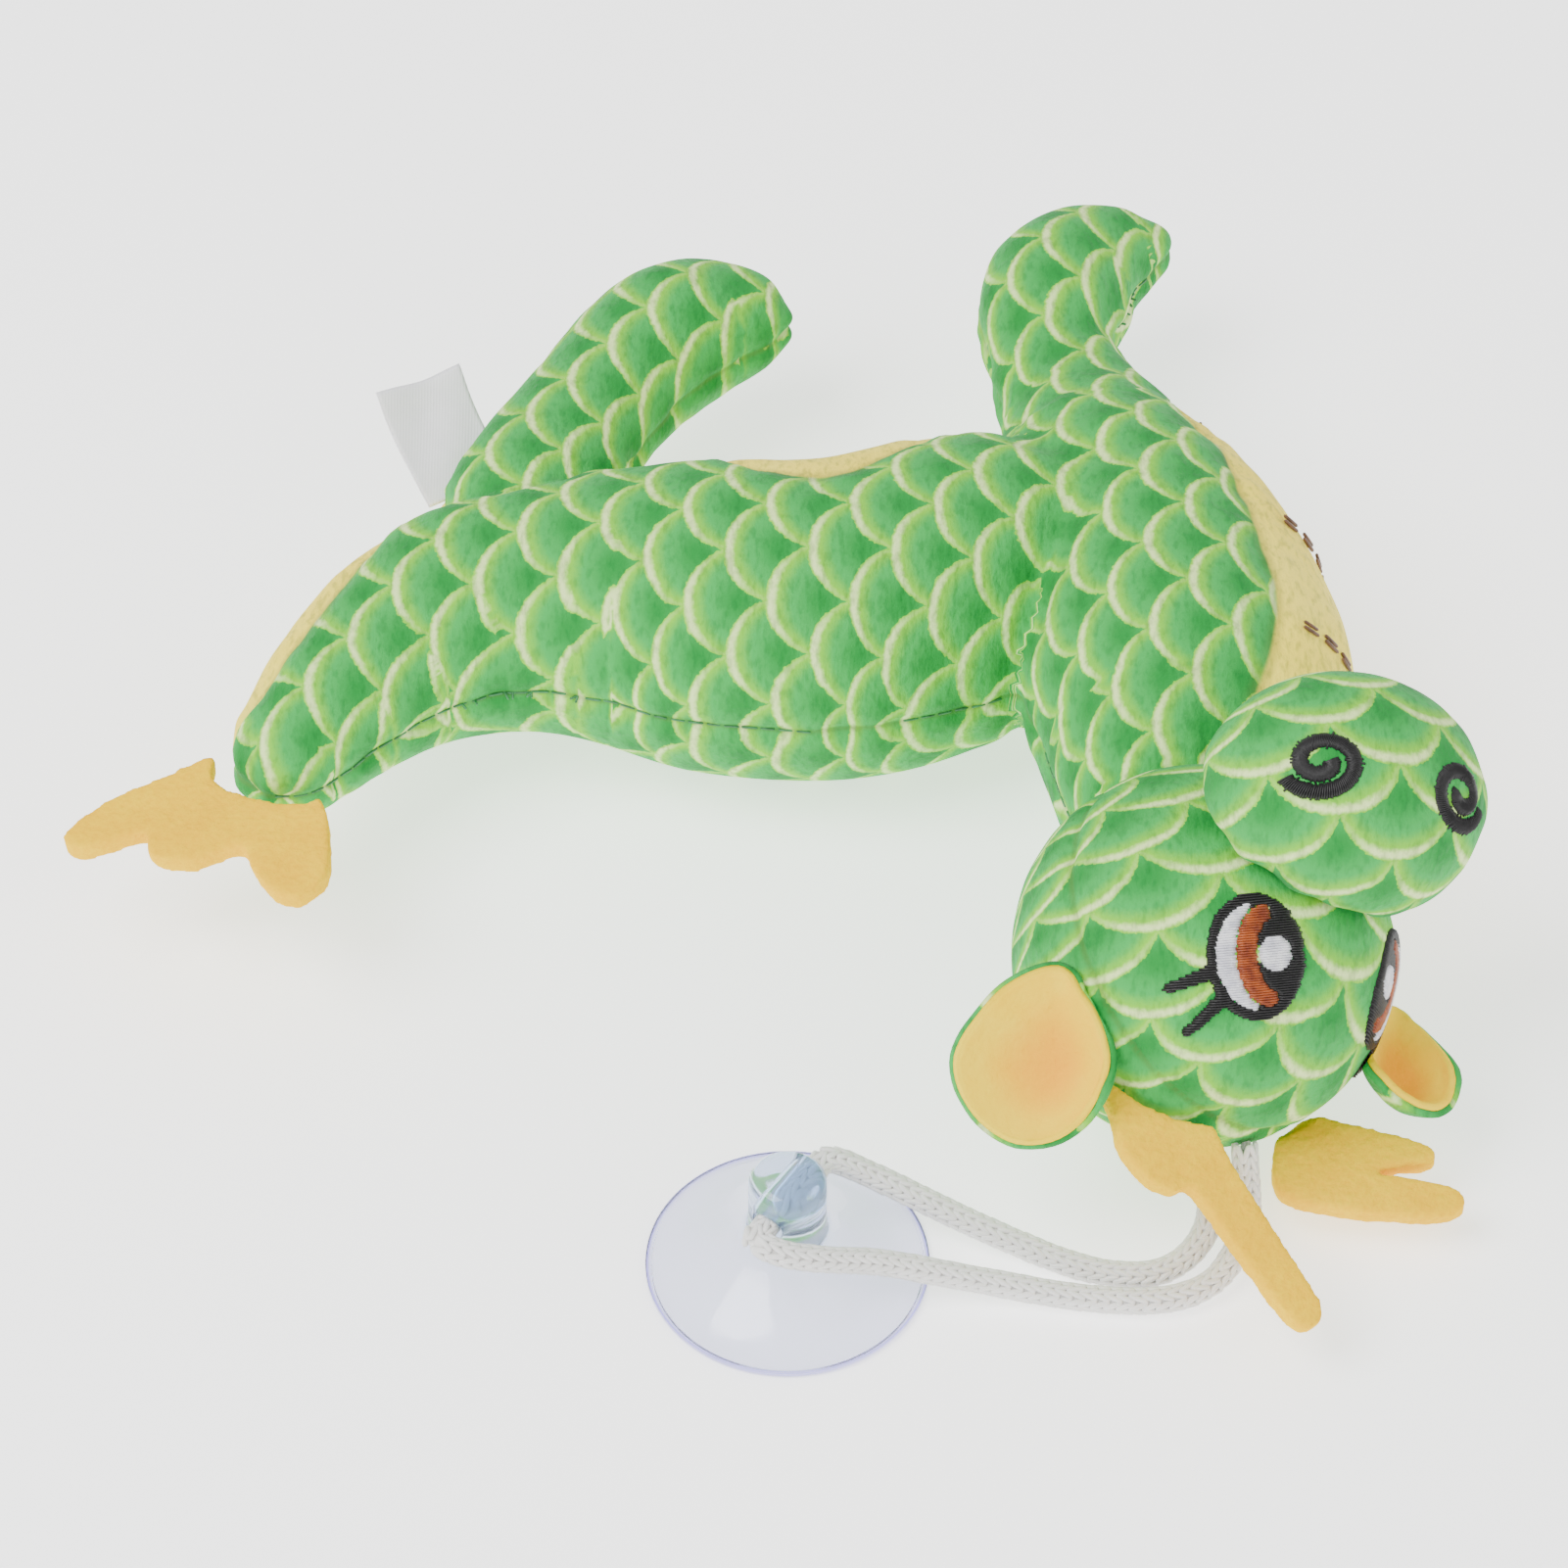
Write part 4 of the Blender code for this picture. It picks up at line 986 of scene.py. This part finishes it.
# %% [markdown]
# The label is a strip of white satin ribbon caught in a seam.  Its tip curls up, so it is a
# curved sheet with a little thickness, and the weave is a fine bump.
# %% Label
def label():
    profile = [(-2, 0.1), (4, 0.4), (9, 0.2), (14, 1.0), (18, 3.5)]
    axes = frame_of(shift(-48.5, 57, MID_Z_MM), Vector((-0.45, 0.88, 0.22)), Vector((0, 0, 1)))
    xs = np.linspace(-2, 18, 34)
    zs = np.interp(xs, *zip(*profile))
    zs = np.convolve(np.pad(zs, 3, mode="edge"), np.ones(7) / 7, mode="valid")
    bm = bmesh.new()
    rows = []
    for x, z in zip(xs, zs):
        curl = 0.9 * (max(0, x - 9) / 9) ** 2
        row = [(x, y, z + curl * (y / 7) ** 2 + 0.25 * math.sin(y * 0.6 + x * 0.3))
               for y in np.linspace(-7, 7, 22)]
        rows.append([bm.verts.new(axes @ (Vector(p) * MM)) for p in row])
    for a, b in zip(rows, rows[1:]):
        for k in range(21):
            bm.faces.new((a[k], a[k + 1], b[k + 1], b[k]))
    obj = from_bmesh("label_ribbon", bm)
    wall = obj.modifiers.new("wall", "SOLIDIFY")
    wall.thickness = 0.4 * MM
    bake(obj)
    s = Shader("label_satin", 0.35, Sheen_Weight=0.2)
    s.colour(s.mix(s.noise(s.place(), 300), (0.80, 0.79, 0.82, 1), (0.90, 0.90, 0.92, 1)))
    wave = s.tree.nodes.new("ShaderNodeTexWave")
    s.put(wave.inputs["Vector"], s.place())
    wave.inputs["Scale"].default_value = 700
    s.bump(wave.outputs[1], 0.25, 0.1 * MM)
    finish_piece(obj, s.material, "label", "label_satin", "label")
    print("label", len(obj.data.polygons))


label()


# %% [markdown]
# The cord is a knitted tube: columns of loops, each a small V, run along it.  It leaves the
# crown, passes through the cup's knob and comes back, all on one smooth curve.
# %% Cord
CORD_OUT = [(65, -70.5, 7), (63, -75.5, 4), (59, -79.8, 2.6), (52, -82.2, 2.4), (41, -81.6, 2.4),
            (27, -79.8, 4), (14, -80, 8), (6, -81.8, 11), (0, -82.4, 13), (-3.6, -80.8, 13.9)]
CORD_BACK = [(6.5, -66, 13.6), (13.5, -66.2, 9.6), (27.5, -70.4, 4.2), (41, -76, 2.4),
             (50, -77.6, 2.4), (55.5, -75.6, 2.8), (59, -72, 4.6), (60, -68.4, 8)]
CORD_EXITS = [Vector((5.5, -24, -14)), Vector((0.5, -23, -16.5))]
CUP_CENTRE = shift(0.5, -74, 0)
HOLE = shift(0.5, -74, 14)
HOLE_R = 2.5 * MM
HOLE_WAY = Vector((math.cos(math.radians(55)), math.sin(math.radians(55)), 0))


def smooth_curve(points, steps):
    ends = [2 * points[0] - points[1], *points, 2 * points[-1] - points[-2]]
    curve = []
    for a, b, c, d in zip(ends, ends[1:], ends[2:], ends[3:]):
        for i in range(steps):
            curve.append(between(a, b, c, d, i / steps))
    return curve + [points[-1]]


def cord():
    first, last = (HEAD_CENTRE + way.normalized() * (HEAD_R + 0.6 * MM) for way in CORD_EXITS)
    run = HOLE_WAY * 5.9 * MM
    route = [first, *(shift(*p) for p in CORD_OUT), HOLE - run, HOLE, HOLE + run,
             *(shift(*p) for p in CORD_BACK), last]
    line = smooth_curve(route, 6)
    bm = bmesh.new()
    columns, pitch = 5, 1.75 * MM
    for i in range(columns):
        for side in (-1, 1):
            a = math.tau * i / columns
            spots = []
            for da, z in ((0.50 * side, -0.62), (0.06 * side, 0.55)):
                spots.append((1.56 * MM * math.cos(a + da), 1.56 * MM * math.sin(a + da), z * pitch))
            capsule(bm, spots[0], spots[1], 0.40 * MM, 6)
    loops = from_bmesh("loops", bm)
    s = Shader("cord_nylon", 0.5, Sheen_Weight=0.3)
    s.colour(s.mix(s.noise(s.place(), 500, 3), (0.74, 0.73, 0.70, 1), (0.90, 0.89, 0.87, 1)))
    s.bump(s.noise(s.place(), 2600, 2), 0.5, 0.12 * MM)
    knit = row_along("cord_knit", [line], loops, pitch, s.material, (0.98, 1.02))
    core = path_object("core", [line])
    core.data.bevel_depth = 1.35 * MM
    core.data.use_fill_caps = True
    tube = bpy.data.meshes.new_from_object(core.evaluated_get(bpy.context.evaluated_depsgraph_get()))
    bpy.data.objects.remove(core, do_unlink=True)
    bm = bmesh.new()
    bm.from_mesh(knit.data)
    bm.from_mesh(tube)
    bmesh.ops.remove_doubles(bm, verts=bm.verts, dist=0.001 * MM)
    bmesh.ops.recalc_face_normals(bm, faces=bm.faces[:])
    bm.to_mesh(knit.data)
    bm.free()
    finish_piece(knit, s.material, "cord", "cord_nylon", "cord")


cord()


# %% [markdown]
# The suction cup is turned: one profile, swept round.  Soft clear vinyl bends light and has a
# faint violet tint that is strongest where it is thick, so it is a transmitting material, not
# a see-through one.
# %% Suction cup
def suction_cup():
    outer = [(0, 20), (3.2, 20), (4.6, 19.6), (5.4, 18.6), (5.5, 17), (5.5, 10.5), (5.9, 8.9), (6.9, 7.5)]
    outer += [(6.9 + 13.1 * t, 1.0 + 6.4 * (1 - t) ** 1.5) for t in (k / 14 for k in range(1, 15))]
    inner = [(r, max(z - 1.6, 0.4)) for r, z in outer[-2:7:-1]]
    profile = outer + [(20.05, 0.5), (19.8, 0.1), (19.2, 0.0)] + inner + [(4, 5.6), (0, 5.8)]
    bm = bmesh.new()
    ring = [bm.verts.new((r * MM, 0, z * MM)) for r, z in profile]
    for a, b in zip(ring, ring[1:]):
        bm.edges.new((a, b))
    mesh = bpy.data.meshes.new("cup_vinyl")
    bm.to_mesh(mesh)
    bm.free()
    cup = add_mesh("cup_vinyl", mesh)
    turn = cup.modifiers.new("turn", "SCREW")
    turn.steps = turn.render_steps = 96
    turn.use_merge_vertices = True
    turn.merge_threshold = 0.01 * MM
    bake(cup)
    cup.data.transform(Matrix.Translation(CUP_CENTRE))
    drill_bm = bmesh.new()
    bmesh.ops.create_cone(drill_bm, cap_ends=True, segments=40, radius1=HOLE_R, radius2=HOLE_R,
                          depth=22 * MM)
    drill_bm.transform(Matrix.Translation(HOLE) @ HOLE_WAY.to_track_quat("Z", "Y").to_matrix().to_4x4())
    drill = from_bmesh("drill", drill_bm)
    cut = cup.modifiers.new("cut", "BOOLEAN")
    cut.operation, cut.object, cut.solver = "DIFFERENCE", drill, "EXACT"
    bake(cup)
    bpy.data.objects.remove(drill, do_unlink=True)
    bm = bmesh.new()
    bm.from_mesh(cup.data)
    bmesh.ops.recalc_face_normals(bm, faces=bm.faces[:])
    bm.to_mesh(cup.data)
    bm.free()
    cup.data.shade_smooth()
    cup.data.set_sharp_from_angle(angle=math.radians(40))
    s = Shader("clear_vinyl", 0.08, Transmission_Weight=0.92, IOR=1.42)
    split = s.tree.nodes.new("ShaderNodeSeparateXYZ")
    from_middle = s.node("ShaderNodeVectorMath", s.place(), tuple(CUP_CENTRE), operation="SUBTRACT")
    s.put(split.inputs[0], from_middle)
    x, y, z = split.outputs
    wide = s.math("SQRT", s.math("ADD", s.math("MULTIPLY", x, x), s.math("MULTIPLY", y, y)))
    tint = s.mix(s.step(wide, 19.2 * MM, 19.9 * MM), (0.86, 0.88, 1.0, 1), (0.42, 0.38, 0.90, 1))
    tint = s.mix(s.step(z, 7 * MM, 10 * MM), tint, (0.60, 0.77, 1.0, 1))
    s.colour(tint)
    s.bump(s.noise(s.place(), 240, 3), 0.12, 0.3 * MM)
    finish_piece(cup, s.material, "cup", "clear_pvc", "suction_cup")
    print("cup", len(cup.data.polygons))


suction_cup()


# %% [markdown]
# A plain pale floor and soft lights show the toy as it lies.
# %% Floor and lights
def stage_set():
    bm = bmesh.new()
    bmesh.ops.create_grid(bm, x_segments=1, y_segments=1, size=3)
    floor = from_bmesh("floor", bm)
    s = Shader("floor_paper", 0.9, Emission_Strength=1.4, Emission_Color=(1, 1, 1, 1))
    s.colour(s.mix(s.noise(s.place(), 3), (0.90, 0.90, 0.90, 1), (0.92, 0.92, 0.92, 1)))
    floor.data.materials.append(s.material)
    world = bpy.data.worlds.new("studio")
    world.use_nodes = True
    world.node_tree.nodes["Background"].inputs[0].default_value = (1, 1, 1, 1)
    world.node_tree.nodes["Background"].inputs[1].default_value = 0.85
    scene.world = world
    for name, spot, size, power in (("key", (-0.5, -0.3, 0.9), 0.6, 13), ("fill", (0.7, -0.6, 0.7), 0.8, 4)):
        light = bpy.data.lights.new(name, "AREA")
        light.energy, light.size = power, size
        lamp = bpy.data.objects.new(name, light)
        scene.collection.objects.link(lamp)
        lamp.location = spot
        lamp.rotation_euler = Vector(spot).to_track_quat("Z", "Y").to_euler()


stage_set()
